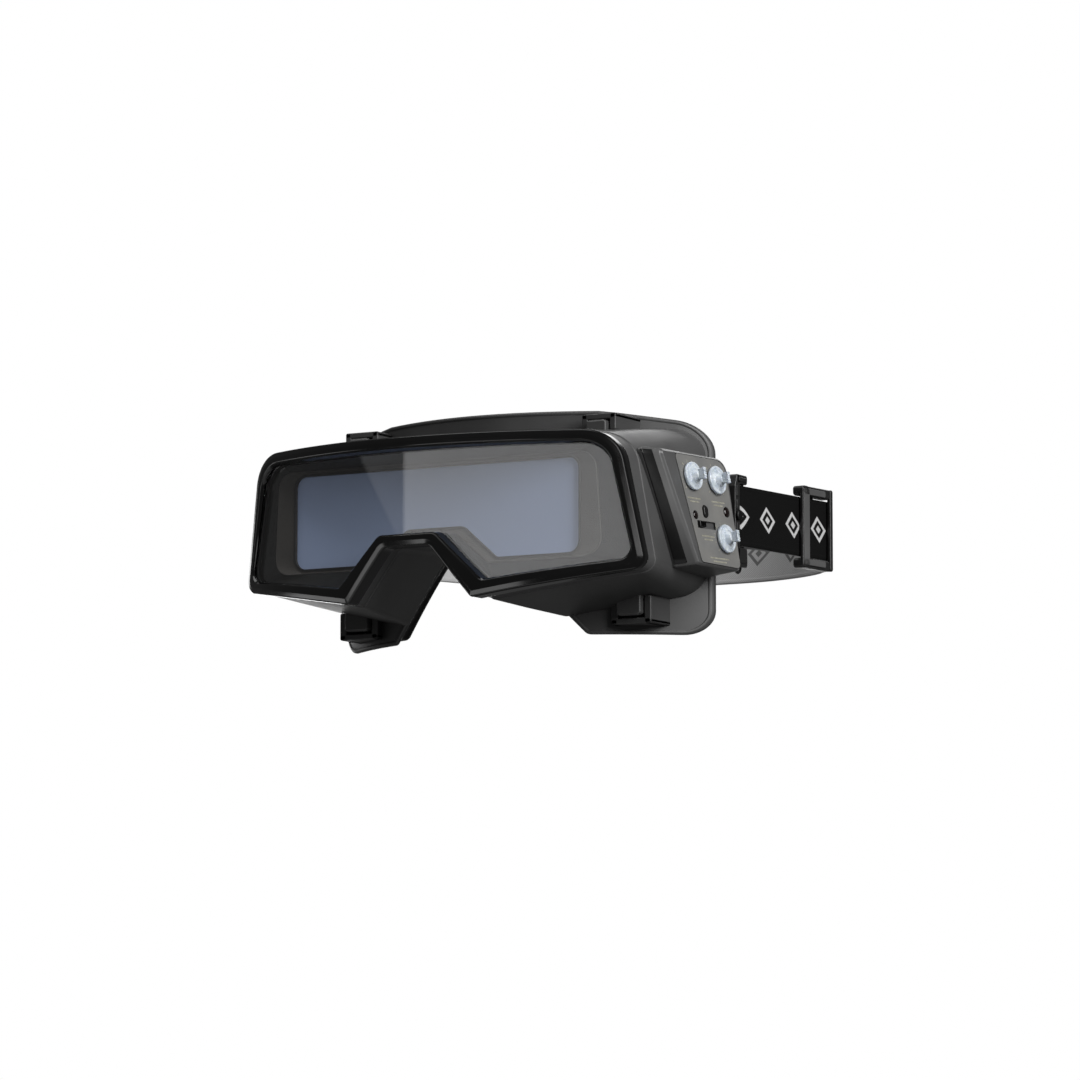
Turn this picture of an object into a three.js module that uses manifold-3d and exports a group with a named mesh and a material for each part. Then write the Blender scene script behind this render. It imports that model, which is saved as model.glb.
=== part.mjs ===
// Auto-darkening welding goggles with a wide cover lens, a side control pod and a head strap.
// Millimetres. +X is the wearer's left, +Y runs back towards the wearer, +Z is up.
// The origin is the middle of the face seal's contact plane.
import * as THREE from 'three';
import { mergeVertices } from 'three/addons/utils/BufferGeometryUtils.js';
import Module from 'manifold-3d';

// ---- driving dimensions ----

const GAP = 0.3; // clearance between pieces that touch
const ARC_STEPS = 3; // facets on each rounded corner

// Outlines are right halves, from the top corner round to the nose: [x, z, corner radius].
const RIM_OUTER = symmetric([[91.5, 30.6, 16], [102, -29.5, 6], [31, -41.2, 2.5], [11.5, -17.5, 5]]);
const RIM_INNER = symmetric([[86.8, 24.8, 12], [96.4, -24.8, 5], [36.3, -32.9, 2], [14.7, -11.5, 5]]);
const BEZEL_RIDGE = symmetric([[80.5, 22, 8], [83.5, -23.6, 8], [27.5, -24, 3], [11, -10, 4]]);
const WINDOW = symmetric([[72, 19.7, 5], [72, -21.5, 5], [31, -21.5, 4], [14.3, -7, 5]]);
const HOUSING_REAR = symmetric([[93, 39.5, 12], [93, -34, 12], [39.5, -45, 5], [14, -14, 6]]);
const CARRIER_EDGE = symmetric([[95, 47, 13], [95, -52, 11], [49, -52, 3], [15, -14.5, 6]]);
const SEAL_EDGE = symmetric([[88.5, 42.5, 12], [88.5, -47.5, 10], [47.5, -48, 3], [17, -12.2, 6]]);
const SEAL_OPENING = symmetric([[79, 30, 14], [79, -35, 13], [55, -38, 8], [20.5, -3, 8]]);
const EDGE_STEPS = [0, 3, 1, 2, 1, 3, 0, 9]; // extra points along each edge of those outlines

const RIM_RADIUS = 180; // plan radius of the front frame's face
const RIM_APEX = -73.5;
const LENS_RADIUS = 208; // plan radius of the cover lens
const LENS_APEX = -67.5;
const LENS_THICK = 2;
const FRAME_DEPTH = 3.5; // from the lens's front to the frame's back
const WALL = 2.6; // housing wall
const HOUSING_INSET = 1.3; // the housing's front edge stands this far inside the frame's edge

const WINDOW_Y = -47.4; // front of the bezel's window lip
const FILTER_FRONT = -46;
const FILTER_THICK = 2.5;
const CELL_THICK = 2;
const CASE_REAR = -39;
const INNER_LENS_FRONT = -37.2;
const INNER_LENS_THICK = 1.2;

const CARRIER_APEX = -12; // the seal carrier's plan curve is y = apex + bow * x * x
const CARRIER_BOW = 0.0049;
const CARRIER_THICK = 3;
const SEAL_THICK = 9;

// Latches on each side: the loop's box on the carrier, and the half width and height of the tongue in it.
const TOP_LATCH = {
  x: 61, front: -10.6, low: 36, high: 43.7, half: 8.5, tongue: 4.9, tongueLow: 34, tongueHigh: 40.4,
};
const BOTTOM_LATCH = {
  x: 70, front: 2, low: -48.3, high: -36, half: 10, tongue: 6, tongueLow: -44.4, tongueHigh: -34,
};
const LATCH_BAR = 2.6; // thickness of a loop's cross bar

const SENSOR = { x: 81, z: 18.2, radius: 2.5, front: -46.8, rear: -42 }; // arc sensors
const EAR = { low: [94.7, 31, -9], high: [97.4, 41, 11] }; // carries the strap anchor's pin
const EAR_ROOT = { low: [92.5, 31.05, -8.5], high: [97, 32.9, 10.5] };

const PANEL = { x: 105, y: 9, slopeY: 0.1, slopeZ: -0.15 }; // side panel plane
const POD_BASE = [[-32.5, 24.5, 2], [30.5, 26.5, 7], [30.5, -27, 4], [-9, -26, 2]]; // [y, z, radius]
const POD_TOP = [[-22.5, 24.8, 2], [29.3, 25, 7], [29.6, -25.2, 4], [-4.5, -25, 2]];
const POD_STEPS = [3, 1, 3, 1];
const POD_BASE_X = [93.5, 94.5, 95.5, 99.5];
const POD_WALL = 1.8;
const POD_ROOT_X = 82; // the pod's block starts inside the housing and is cut back to its wall
const POD_CLEARANCE = 0.5; // between the pod and the housing's tapering side
const LABEL = [[-11.5, 23.6, 1.5], [26.5, 23.8, 6], [28.4, -23.8, 2.5], [-1.5, -23.4, 1.5]];
const KNOBS = {
  shade: [-1.2, 14.2],
  sensitivity: [17.2, 14.2],
  delay: [18.3, -11.7],
}; // [y, z] on the panel
const KNOB = { radius: 6.3, lift: 0.6, disc: 1.6, finThick: 2 };
const FIN_EDGE = [[2.6, 1], [1.5, 4.4], [2.7, 7.6], [1.8, 8.2], [0, 7.5]]; // half of the fin: [across, up]
const SHAFT_R = 1.5;
const LED_LEFT_R = 1.6;
const LED_RIGHT_R = 2;
const LED_LEFT = [-1.8, -2.8];
const LED_RIGHT = [23, 0.8];
const TEST_BUTTON = [6, -0.6];
const MODE_SLOT = [5.8, -6.6];
const MODE_TRAVEL = 8;
const BOARD = [[-7, 18.5, 1], [25, 18.5, 1], [26, -17.5, 1], [-3, -17.5, 1]]; // [y, z, radius]
const BOARD_DEPTH = 5.3; // the board's face below the panel
const BOARD_THICK = 1;
const SCREWS = [[9, 22], [4, -21.5]]; // [y, z], along X
const BOSS_R = 2.6;
const CABLE_WINDOW = { low: [88, -17, -5], high: [102, -9, 7] }; // in the housing's side
const CABLE_PATH = [[96.4, -7.6], [96.3, -10.5], [92, -13.5], [86, -24], [80, -37], [76.6, -41.5]]; // [x, y]
const BATTERY = { y: 8, z: 0, radius: 12.25, thick: 5 };

const STRAP_Z = 1.2;
const STRAP_WIDTH = 27;
const STRAP_THICK = 1.6;
const BAR = { x: 101.5, y: 43.2, turn: 2.7 }; // strap's turn round the anchor bar
const PIVOT = { y: 36.8, z: 1, radius: 1.6, headRadius: 2.3 };
const ANCHOR = [[36.5, 19.5], [46, 19.5], [46, -21.5], [36.5, -21.5], [34.5, -16], [34.5, 14]]; // [y, z]
const ANCHOR_X = [98.3, 104.7];
const SLIDER = { x: 110.5, y: 112, centre: 99.5, length: 25, height: 37, frontBar: 5.6, rearBar: 2.4 };
const LEFT_FOLD = [[104.4, 68], [103.8, 61], [103, 55.5], [100.4, 50.5], [99, 47]]; // [x, y]
const RIGHT_FOLD = [[-99, 47], [-99.7, 51], [-99.9, 54], [-98.2, 59], [-95.2, 65]];
const HEAD_PATH = [
  [110.3, 111], [110.3, 114.5], [106, 122], [99, 134], [85, 155], [55, 171], [22, 174.5], [-20, 172],
  [-50, 157], [-72, 127], [-86, 92], [-97, 66], [-102.6, 54], [-104.1, 48], [-104.2, 43.2],
];

// ---- outlines and curves ----

function symmetric(half) {
  const mirrored = half.map(([x, z, r]) => [-x, z, r]).reverse();
  return [...half, ...mirrored];
}

// Moves a clockwise outline's edges inwards by the distance, or outwards where it is negative.
function inset(corners, distance) {
  const count = corners.length;
  return corners.map(([x, z, r], i) => {
    const [px, pz] = corners[(i + count - 1) % count];
    const [nx, nz] = corners[(i + 1) % count];
    const before = new THREE.Vector2(x - px, z - pz).normalize();
    const after = new THREE.Vector2(nx - x, nz - z).normalize();
    const normal = new THREE.Vector2(before.y + after.y, -before.x - after.x);
    const reach = distance / (1 + before.dot(after));
    const turnsIn = before.cross(after) < 0;
    const radius = Math.max(0.4, turnsIn ? r - distance : r + distance);
    return [x + normal.x * reach, z + normal.y * reach, radius];
  });
}

// The points of a rounded outline: an arc at each corner and steps[i] points along the edge after it.
function trace(corners, steps) {
  const count = corners.length;
  const arcs = corners.map(([x, z, r], i) => {
    const corner = new THREE.Vector2(x, z);
    const previous = new THREE.Vector2(...corners[(i + count - 1) % count].slice(0, 2));
    const next = new THREE.Vector2(...corners[(i + 1) % count].slice(0, 2));
    const before = corner.clone().sub(previous).normalize();
    const after = next.clone().sub(corner).normalize();
    const turn = Math.atan2(before.cross(after), before.dot(after));
    const start = corner.clone().addScaledVector(before, -r * Math.tan(Math.abs(turn) / 2));
    const side = Math.sign(turn);
    const centre = start.clone().add(new THREE.Vector2(-before.y, before.x).multiplyScalar(side * r));
    const arc = [];
    for (let k = 0; k <= ARC_STEPS; k++) {
      arc.push(start.clone().rotateAround(centre, turn * k / ARC_STEPS));
    }
    return arc;
  });
  const points = [];
  arcs.forEach((arc, i) => {
    const last = arc[ARC_STEPS];
    const next = arcs[(i + 1) % count][0];
    points.push(...arc);
    for (let k = 1; k <= steps[i]; k++) {
      points.push(last.clone().lerp(next, k / (steps[i] + 1)));
    }
  });
  return points;
}

const arcDepth = (radius, x) => radius - Math.sqrt(radius * radius - x * x);
const rimFront = (x) => RIM_APEX + arcDepth(RIM_RADIUS, x);
const lensFront = (x) => LENS_APEX + arcDepth(LENS_RADIUS, x);
const carrierFront = (x) => CARRIER_APEX + CARRIER_BOW * x * x;
const ridgeY = (x) => Math.max(-49, lensFront(x) + LENS_THICK + 0.9);

const fromFront = (p) => new THREE.Vector2(p.x, p.z);
const fromSide = (p) => new THREE.Vector2(p.y, p.z);

// A ring of points: the outline in X and Z, with Y a number or a function of x.
function ring(corners, y, shift = 0) {
  const depth = typeof y === 'function' ? y : () => y;
  return trace(corners, EDGE_STEPS).map((p) => new THREE.Vector3(p.x, depth(p.x) + shift, p.y));
}

// The carrier's and the seal's top edge falls away towards the temples.
function droop(points) {
  return points.map((p) => {
    const fall = p.z > 20 ? 0.14 * Math.max(0, Math.abs(p.x) - 55) : 0;
    return new THREE.Vector3(p.x, p.y, p.z - fall);
  });
}

// ---- solids ----

const wasm = await Module();
wasm.setup();

function solid(geometry) {
  const bare = geometry.clone();
  bare.deleteAttribute('normal');
  bare.deleteAttribute('uv');
  const merged = mergeVertices(bare, 1e-4);
  return new wasm.Manifold(new wasm.Mesh({
    numProp: 3,
    vertProperties: merged.attributes.position.array,
    triVerts: Uint32Array.from(merged.index.array),
  }));
}

function geometryOf(body) {
  const mesh = body.getMesh();
  const geometry = new THREE.BufferGeometry();
  geometry.setAttribute('position', new THREE.BufferAttribute(new Float32Array(mesh.vertProperties), 3));
  geometry.setIndex(Array.from(mesh.triVerts));
  geometry.computeVertexNormals();
  return geometry;
}

// Points and triangles as a geometry whose faces point out.
function closed(points, triangles) {
  let volume = 0;
  for (const [a, b, c] of triangles) {
    volume += points[a].dot(points[b].clone().cross(points[c]));
  }
  const facing = volume > 0 ? triangles : triangles.map(([a, b, c]) => [a, c, b]);
  const geometry = new THREE.BufferGeometry().setFromPoints(points);
  geometry.setIndex(facing.flat());
  geometry.computeVertexNormals();
  return geometry;
}

// The walls between successive rings of the same number of points.
function walls(rings, closes) {
  const size = rings[0].length;
  const spans = closes ? rings.length : rings.length - 1;
  const triangles = [];
  for (let r = 0; r < spans; r++) {
    const low = r * size;
    const high = ((r + 1) % rings.length) * size;
    for (let i = 0; i < size; i++) {
      const j = (i + 1) % size;
      triangles.push([low + i, low + j, high + j], [low + i, high + j, high + i]);
    }
  }
  return triangles;
}

// A frame: rings that run round its section, the last joined to the first.
function frame(rings) {
  return closed(rings.flat(), walls(rings, true));
}

// The triangles that close a ring, running the same way round as its points. flat gives a point's two
// coordinates in the cap's plane, which are bent slightly so that no point lies on its neighbours' line.
function capOf(points, flat) {
  const bend = 1e-5;
  const outline = points.map(flat).map(({ x, y }) => new THREE.Vector2(x + bend * y * y, y - bend * x * x));
  const area = (list) => THREE.ShapeUtils.area(list);
  return THREE.ShapeUtils.triangulateShape(outline, []).map(([a, b, c]) => {
    const same = area([outline[a], outline[b], outline[c]]) * area(outline) > 0;
    return same ? [a, b, c] : [a, c, b];
  });
}

// A solid block between rings, closed by a cap at each end.
function block(rings, flat) {
  const last = (rings.length - 1) * rings[0].length;
  const triangles = walls(rings, false);
  for (const [a, b, c] of capOf(rings[0], flat)) {
    triangles.push([c, b, a]);
  }
  for (const [a, b, c] of capOf(rings[rings.length - 1], flat)) {
    triangles.push([last + a, last + b, last + c]);
  }
  return closed(rings.flat(), triangles);
}

// A box from its low corner to its high corner.
function slab(low, high) {
  const size = high.map((v, i) => v - low[i]);
  const middle = high.map((v, i) => (v + low[i]) / 2);
  return new THREE.BoxGeometry(...size).translate(...middle);
}

// Two stations along X on the given side, in rising order.
function spanX(side, near, far) {
  return side > 0 ? [near, far] : [-far, -near];
}

// A box given for the left side, on either side.
function sideSlab(side, { low, high }) {
  const [near, far] = spanX(side, low[0], high[0]);
  return slab([near, low[1], low[2]], [far, high[1], high[2]]);
}

// A cylinder along X, Y or Z between two stations.
function rod(axis, from, to, radius, across, sides = 24) {
  const cylinder = new THREE.CylinderGeometry(radius, radius, to - from, sides);
  const middle = (from + to) / 2;
  if (axis === 'x') {
    return cylinder.rotateZ(Math.PI / 2).translate(middle, across[0], across[1]);
  }
  if (axis === 'y') {
    return cylinder.translate(across[0], middle, across[1]);
  }
  return cylinder.rotateX(Math.PI / 2).translate(across[0], across[1], middle);
}

// A flat plate with the outline in X and Z, from y0 back to y1.
function plate(corners, y0, y1) {
  const outline = new THREE.Shape(trace(corners, EDGE_STEPS.map(() => 0)));
  const extruded = new THREE.ExtrudeGeometry(outline, { depth: y1 - y0, bevelEnabled: false });
  return extruded.rotateX(Math.PI / 2).translate(0, y1, 0);
}

// A curved slab between two plan curves, tall enough to cut any outline here.
function bow(front, back, half) {
  const steps = 28;
  const plan = [];
  for (let i = 0; i <= steps; i++) {
    const x = half * (2 * i / steps - 1);
    plan.push(new THREE.Vector2(x, front(x)));
  }
  for (let i = steps; i >= 0; i--) {
    const x = half * (2 * i / steps - 1);
    plan.push(new THREE.Vector2(x, back(x)));
  }
  const tall = new THREE.ExtrudeGeometry(new THREE.Shape(plan), { depth: 160, bevelEnabled: false });
  return tall.translate(0, 0, -80);
}

// ---- finishes ----

function finish(color, roughness, metalness = 0) {
  return new THREE.MeshStandardMaterial({ color, roughness, metalness });
}

const gloss = finish('#17181a', 0.18);
const shellFinish = finish('#2b2c2e', 0.45);
const matte = finish('#3a3938', 0.7);
const clear = finish('#8f9499', 0.05);
const filterBlue = finish('#56607a', 0.08);
const rubber = finish('#3b3c3e', 0.8);
const foamFinish = finish('#1d1d1f', 0.95);
const labelFinish = finish('#6d6c68', 0.4);
const knobFinish = finish('#cfd8de', 0.25);
const webbing = finish('#141416', 0.9);
const buckle = finish('#1b1c1e', 0.35);
const steel = finish('#b9bcc0', 0.3, 1);
const boardGreen = finish('#20603a', 0.5);
const amber = finish('#7a2a1c', 0.2);

const goggles = new THREE.Group();

function add(name, geometry, material, parent = goggles) {
  const mesh = new THREE.Mesh(geometry, material);
  mesh.name = name;
  parent.add(mesh);
  return mesh;
}

// ---- lens and front frame ----

const LENS_EDGE = inset(RIM_INNER, -2);
const lensBack = (x) => lensFront(x) + LENS_THICK;
const frameBack = (x) => lensFront(x) + FRAME_DEPTH;
const housingFront = (x) => frameBack(x) + GAP;

function frontFrame() {
  const pocket = inset(LENS_EDGE, -GAP);
  return frame([
    ring(RIM_OUTER, frameBack),
    ring(RIM_OUTER, rimFront, 1.4),
    ring(inset(RIM_OUTER, 0.5), rimFront, 0.4),
    ring(inset(RIM_OUTER, 1.5), rimFront),
    ring(inset(RIM_INNER, -1.2), rimFront, 0.2),
    ring(RIM_INNER, lensFront, -GAP),
    ring(pocket, lensFront, -GAP),
    ring(pocket, frameBack),
  ]);
}

function coverLens() {
  const sheet = solid(bow(lensFront, lensBack, 104));
  return geometryOf(sheet.intersect(solid(plate(LENS_EDGE, -90, 0))));
}

function lensGasket() {
  return frame([
    ring(LENS_EDGE, lensBack, GAP),
    ring(LENS_EDGE, frameBack),
    ring(inset(RIM_INNER, -0.2), frameBack),
    ring(inset(RIM_INNER, -0.2), lensBack, GAP),
  ]);
}

add('front_frame', frontFrame(), gloss);
add('cover_lens', coverLens(), clear);
add('lens_gasket', lensGasket(), rubber);

// ---- housing ----

const HOUSING_FRONT = inset(RIM_OUTER, HOUSING_INSET);

// The housing's outer form as one block, grown by the distance.
function housingForm(grow) {
  return solid(block([
    ring(inset(HOUSING_FRONT, -grow), housingFront, -grow),
    ring(inset(HOUSING_REAR, -grow), carrierFront, grow - GAP),
  ], fromFront));
}

// A tongue on the housing that the carrier's loop snaps over, ending in an upright hook.
function tongues() {
  const parts = [];
  for (const side of [-1, 1]) {
    for (const latch of [TOP_LATCH, BOTTOM_LATCH]) {
      const front = latch.front - LATCH_BAR;
      const rear = carrierFront(latch.x - latch.tongue) - 2 * GAP;
      const [near, far] = [side * latch.x - latch.tongue, side * latch.x + latch.tongue];
      parts.push(slab([near, front, latch.tongueLow], [far, rear, latch.tongueHigh]));
    }
  }
  return parts.map(solid);
}

function housingShell() {
  let shell = solid(frame([
    ring(HOUSING_FRONT, housingFront),
    ring(HOUSING_REAR, carrierFront, -GAP),
    ring(inset(HOUSING_REAR, WALL), carrierFront, -GAP),
    ring(inset(HOUSING_FRONT, WALL), housingFront),
  ]));
  const cavity = solid(block([
    ring(inset(HOUSING_FRONT, WALL - 0.5), housingFront, -1),
    ring(inset(HOUSING_REAR, WALL - 0.5), carrierFront, 1),
  ], fromFront));
  for (const tongue of tongues()) {
    shell = shell.add(tongue.subtract(cavity));
  }
  for (const side of [-1, 1]) {
    for (const place of SCREWS) {
      shell = shell.subtract(solid(rod('x', ...spanX(side, 85, 101), 1.4, place)));
    }
    shell = shell.subtract(solid(sideSlab(side, CABLE_WINDOW)));
  }
  return geometryOf(shell);
}

add('housing_shell', housingShell(), shellFinish);

// ---- optics ----

function filterBezel() {
  const edge = inset(RIM_INNER, 0.2);
  const lip = inset(WINDOW, -1.8);
  let bezel = solid(frame([
    ring(edge, housingFront, 0.1),
    ring(BEZEL_RIDGE, ridgeY),
    ring(lip, WINDOW_Y, -0.2),
    ring(WINDOW, WINDOW_Y),
    ring(WINDOW, WINDOW_Y + 1.1),
    ring(lip, WINDOW_Y + 1.1),
    ring(BEZEL_RIDGE, ridgeY, 1.6),
    ring(edge, housingFront, 2.6),
  ]));
  for (const side of [-1, 1]) {
    bezel = bezel.subtract(solid(rod('y', -60, -30, SENSOR.radius + GAP, [side * SENSOR.x, SENSOR.z])));
  }
  return geometryOf(bezel);
}

function cartridgeCase() {
  const outer = inset(WINDOW, -3.2);
  const pocket = inset(WINDOW, -1.8);
  const lipEdge = inset(WINDOW, 0.8);
  return frame([
    ring(outer, FILTER_FRONT),
    ring(pocket, FILTER_FRONT),
    ring(pocket, CASE_REAR - 1.8),
    ring(lipEdge, CASE_REAR - 1.8),
    ring(lipEdge, CASE_REAR),
    ring(outer, CASE_REAR),
  ]);
}

// The wearer's side of the optics: a funnel from the inner lens out to the face opening.
function innerFrame() {
  const mouth = inset(HOUSING_REAR, 5.2);
  const lip = CASE_REAR + GAP;
  const seat = INNER_LENS_FRONT - GAP;
  return frame([
    ring(inset(WINDOW, 0.5), lip),
    ring(inset(WINDOW, 0.5), seat),
    ring(inset(WINDOW, -2.2), seat),
    ring(inset(WINDOW, -2.6), seat + 2),
    ring(mouth, carrierFront, -1.5),
    ring(inset(mouth, -1.7), carrierFront, -1.5),
    ring(inset(WINDOW, -3.6), seat + 1),
    ring(inset(WINDOW, -3.5), lip),
  ]);
}

const CELL_FRONT = FILTER_FRONT + FILTER_THICK + GAP;
add('filter_bezel', filterBezel(), matte);
add('darkening_filter', plate(inset(WINDOW, -1.5), FILTER_FRONT, FILTER_FRONT + FILTER_THICK), filterBlue);
add('liquid_crystal_cell', plate(inset(WINDOW, -1.3), CELL_FRONT, CELL_FRONT + CELL_THICK), filterBlue);
add('cartridge_case', cartridgeCase(), matte);
add('inner_cover_lens',
  plate(inset(WINDOW, -1.8), INNER_LENS_FRONT, INNER_LENS_FRONT + INNER_LENS_THICK), clear);
add('inner_frame', innerFrame(), matte);
for (const [name, side] of [['left', 1], ['right', -1]]) {
  add(`arc_sensor_${name}`,
    rod('y', SENSOR.front, SENSOR.rear, SENSOR.radius, [side * SENSOR.x, SENSOR.z]), gloss);
}

// ---- seal carrier and face seal ----

// A snap loop on the carrier: two posts and a bar, above the tongue (1) or below it (-1).
function snapLoop(latch, side, bar) {
  const x = side * latch.x;
  const rear = carrierFront(latch.x + latch.half) + 1;
  const low = [x - latch.half, latch.front, latch.low];
  const high = [x + latch.half, rear, latch.high];
  const hole = latch.tongue + 2 * GAP;
  const bottom = bar > 0 ? latch.low - 1 : latch.low + LATCH_BAR;
  const top = bar > 0 ? latch.high - LATCH_BAR : latch.high + 1;
  const opening = slab([x - hole, latch.front - 1, bottom], [x + hole, rear - 1, top]);
  return solid(slab(low, high)).subtract(solid(opening));
}

function sealCarrier() {
  const opening = inset(HOUSING_REAR, 5);
  const flange = frame([
    droop(ring(CARRIER_EDGE, carrierFront, 0.6)),
    droop(ring(inset(CARRIER_EDGE, 1), carrierFront)),
    ring(opening, carrierFront),
    ring(opening, carrierFront, CARRIER_THICK),
    droop(ring(inset(CARRIER_EDGE, 1), carrierFront, CARRIER_THICK)),
    droop(ring(CARRIER_EDGE, carrierFront, CARRIER_THICK - 0.6)),
  ]);
  const housing = housingForm(GAP);
  const behind = solid(bow((x) => carrierFront(x) + CARRIER_THICK, () => 120, 110));
  let carrier = solid(flange);
  for (const side of [-1, 1]) {
    for (const [latch, bar] of [[TOP_LATCH, 1], [BOTTOM_LATCH, -1]]) {
      carrier = carrier.add(snapLoop(latch, side, bar).subtract(housing).subtract(behind));
    }
    carrier = carrier.add(solid(sideSlab(side, EAR))).add(solid(sideSlab(side, EAR_ROOT)));
    const bore = rod('x', ...spanX(side, 90, 100), PIVOT.radius + GAP, [PIVOT.y, PIVOT.z]);
    carrier = carrier.subtract(solid(bore));
  }
  return geometryOf(carrier);
}

function faceSeal() {
  const front = CARRIER_THICK + 2 * GAP;
  const rear = CARRIER_THICK + SEAL_THICK;
  return frame([
    droop(ring(inset(CARRIER_EDGE, 1.5), carrierFront, front)),
    droop(ring(inset(SEAL_EDGE, -2), carrierFront, rear - 3)),
    droop(ring(inset(SEAL_EDGE, 1), carrierFront, rear)),
    ring(inset(SEAL_OPENING, -3), carrierFront, rear),
    ring(SEAL_OPENING, carrierFront, rear - 3),
    ring(SEAL_OPENING, carrierFront, front),
  ]);
}

add('seal_carrier', sealCarrier(), rubber);
add('face_seal', faceSeal(), foamFinish);

// ---- side pods ----

const panelX = (y, z) => PANEL.x + PANEL.slopeY * (y - PANEL.y) + PANEL.slopeZ * z;

// The panel's own axes: x along it, y up it, z out of it.
function panelGroup(side) {
  const outward = new THREE.Vector3(side, -PANEL.slopeY, -PANEL.slopeZ).normalize();
  const along = new THREE.Vector3(0, side, 0).projectOnPlane(outward).normalize();
  const up = outward.clone().cross(along);
  const group = new THREE.Group();
  group.quaternion.setFromRotationMatrix(new THREE.Matrix4().makeBasis(along, up, outward));
  group.position.set(side * PANEL.x, PANEL.y, 0);
  group.updateMatrixWorld(true);
  goggles.add(group);
  return group;
}

const leftPanel = panelGroup(1);
const rightPanel = panelGroup(-1);

// A place on a panel, [y, z] on the goggles, in the panel's own axes.
function onPanel(panel, [y, z]) {
  const side = Math.sign(panel.position.x);
  const local = panel.worldToLocal(new THREE.Vector3(side * panelX(y, z), y, z));
  return [local.x, local.y];
}

// A ring of the pod: an outline in Y and Z, at a depth below the panel.
function podRing(side, corners, depth) {
  return trace(corners, POD_STEPS).map((p) => {
    return new THREE.Vector3(side * (panelX(p.x, p.y) - depth), p.x, p.y);
  });
}

// A ring of the pod at one station along X.
function podFlatRing(side, corners, x) {
  return trace(corners, POD_STEPS).map((p) => new THREE.Vector3(side * x, p.x, p.y));
}

// The base edge's X runs between the four corner stations.
function podBaseRing(side, corners) {
  const [[y0], , [y2]] = POD_BASE;
  return trace(corners, POD_STEPS).map((p) => {
    const back = THREE.MathUtils.clamp((p.x - y0) / (y2 - y0), 0, 1);
    const down = THREE.MathUtils.clamp((POD_BASE[0][1] - p.y) / 50, 0, 1);
    const top = THREE.MathUtils.lerp(POD_BASE_X[0], POD_BASE_X[1], back);
    const bottom = THREE.MathUtils.lerp(POD_BASE_X[3], POD_BASE_X[2], back);
    return new THREE.Vector3(side * THREE.MathUtils.lerp(top, bottom, down), p.x, p.y);
  });
}

function podForm(side, shrink) {
  const base = inset(POD_BASE, shrink);
  const top = inset(POD_TOP, shrink);
  return solid(block([
    podFlatRing(side, base, POD_ROOT_X),
    podBaseRing(side, base),
    podRing(side, top, 1.1 + shrink),
    podRing(side, inset(top, 1.1), shrink),
  ], fromSide));
}

// A geometry made in a panel's own axes, as a solid in the goggles' axes.
function panelCut(panel, geometry) {
  return solid(geometry.clone().applyMatrix4(panel.matrixWorld));
}

// A plate with round ends, from one height to another.
function pill(halfX, halfY, from, to) {
  const radius = Math.min(halfX, halfY);
  const corners = [[halfX, halfY], [halfX, -halfY], [-halfX, -halfY], [-halfX, halfY]];
  const outline = trace(corners.map(([x, y]) => [x, y, radius * 0.98]), [0, 0, 0, 0]);
  const extruded = new THREE.ExtrudeGeometry(new THREE.Shape(outline), {
    depth: to - from,
    bevelEnabled: false,
  });
  return extruded.translate(0, 0, from);
}

// A pod's hollow shell with its two screw bosses, cut back to stand clear of the housing.
function podShell(side) {
  let pod = podForm(side, 0).subtract(podForm(side, POD_WALL));
  for (const [y, z] of SCREWS) {
    pod = pod.add(solid(rod('x', ...spanX(side, POD_ROOT_X, panelX(y, z) - 1), BOSS_R, [y, z])));
  }
  const inboard = HOUSING_REAR[0][0] + GAP;
  const behind = solid(slab([-inboard, 0, -60], [inboard, 60, 60]));
  pod = pod.subtract(housingForm(POD_CLEARANCE)).subtract(behind);
  for (const [y, z] of SCREWS) {
    pod = pod.subtract(solid(rod('x', ...spanX(side, 80, panelX(y, z) - 3), 1.3, [y, z])));
  }
  return pod;
}

// The label's plate in the panel's axes, between two heights above the panel.
function labelPlate(panel, shrink, from, to) {
  const corners = inset(LABEL, shrink);
  const outline = trace(corners, POD_STEPS).map((p) => new THREE.Vector2(...onPanel(panel, [p.x, p.y])));
  const extruded = new THREE.ExtrudeGeometry(new THREE.Shape(outline), {
    depth: to - from,
    bevelEnabled: false,
  });
  return extruded.translate(0, 0, from);
}

// Every opening in the control panel, made wider by the clearance.
function panelHoles(clearance, from, to) {
  const holes = [];
  for (const place of Object.values(KNOBS)) {
    holes.push(rod('z', from, to, SHAFT_R + clearance, onPanel(leftPanel, place)));
  }
  for (const [place, radius] of [[LED_LEFT, LED_LEFT_R], [LED_RIGHT, LED_RIGHT_R]]) {
    holes.push(rod('z', from, to, radius + clearance, onPanel(leftPanel, place)));
  }
  const [bx, by] = onPanel(leftPanel, TEST_BUTTON);
  holes.push(pill(1.6 + clearance, 2.6 + clearance, from, to).translate(bx, by, 0));
  const [sx, sy] = onPanel(leftPanel, MODE_SLOT);
  holes.push(slab([sx - 7, sy - 1.7, from], [sx + 7, sy + 1.7, to]));
  return holes;
}

function controlPod() {
  let pod = podShell(1).subtract(panelCut(leftPanel, labelPlate(leftPanel, -GAP, -0.5, 3)));
  for (const hole of panelHoles(0.4, -4, 3)) {
    pod = pod.subtract(panelCut(leftPanel, hole));
  }
  return geometryOf(pod);
}

function panelLabel() {
  let label = solid(labelPlate(leftPanel, 0, -0.2, 0.15));
  for (const hole of panelHoles(0.4, -4, 3)) {
    label = label.subtract(solid(hole));
  }
  return geometryOf(label);
}

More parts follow.
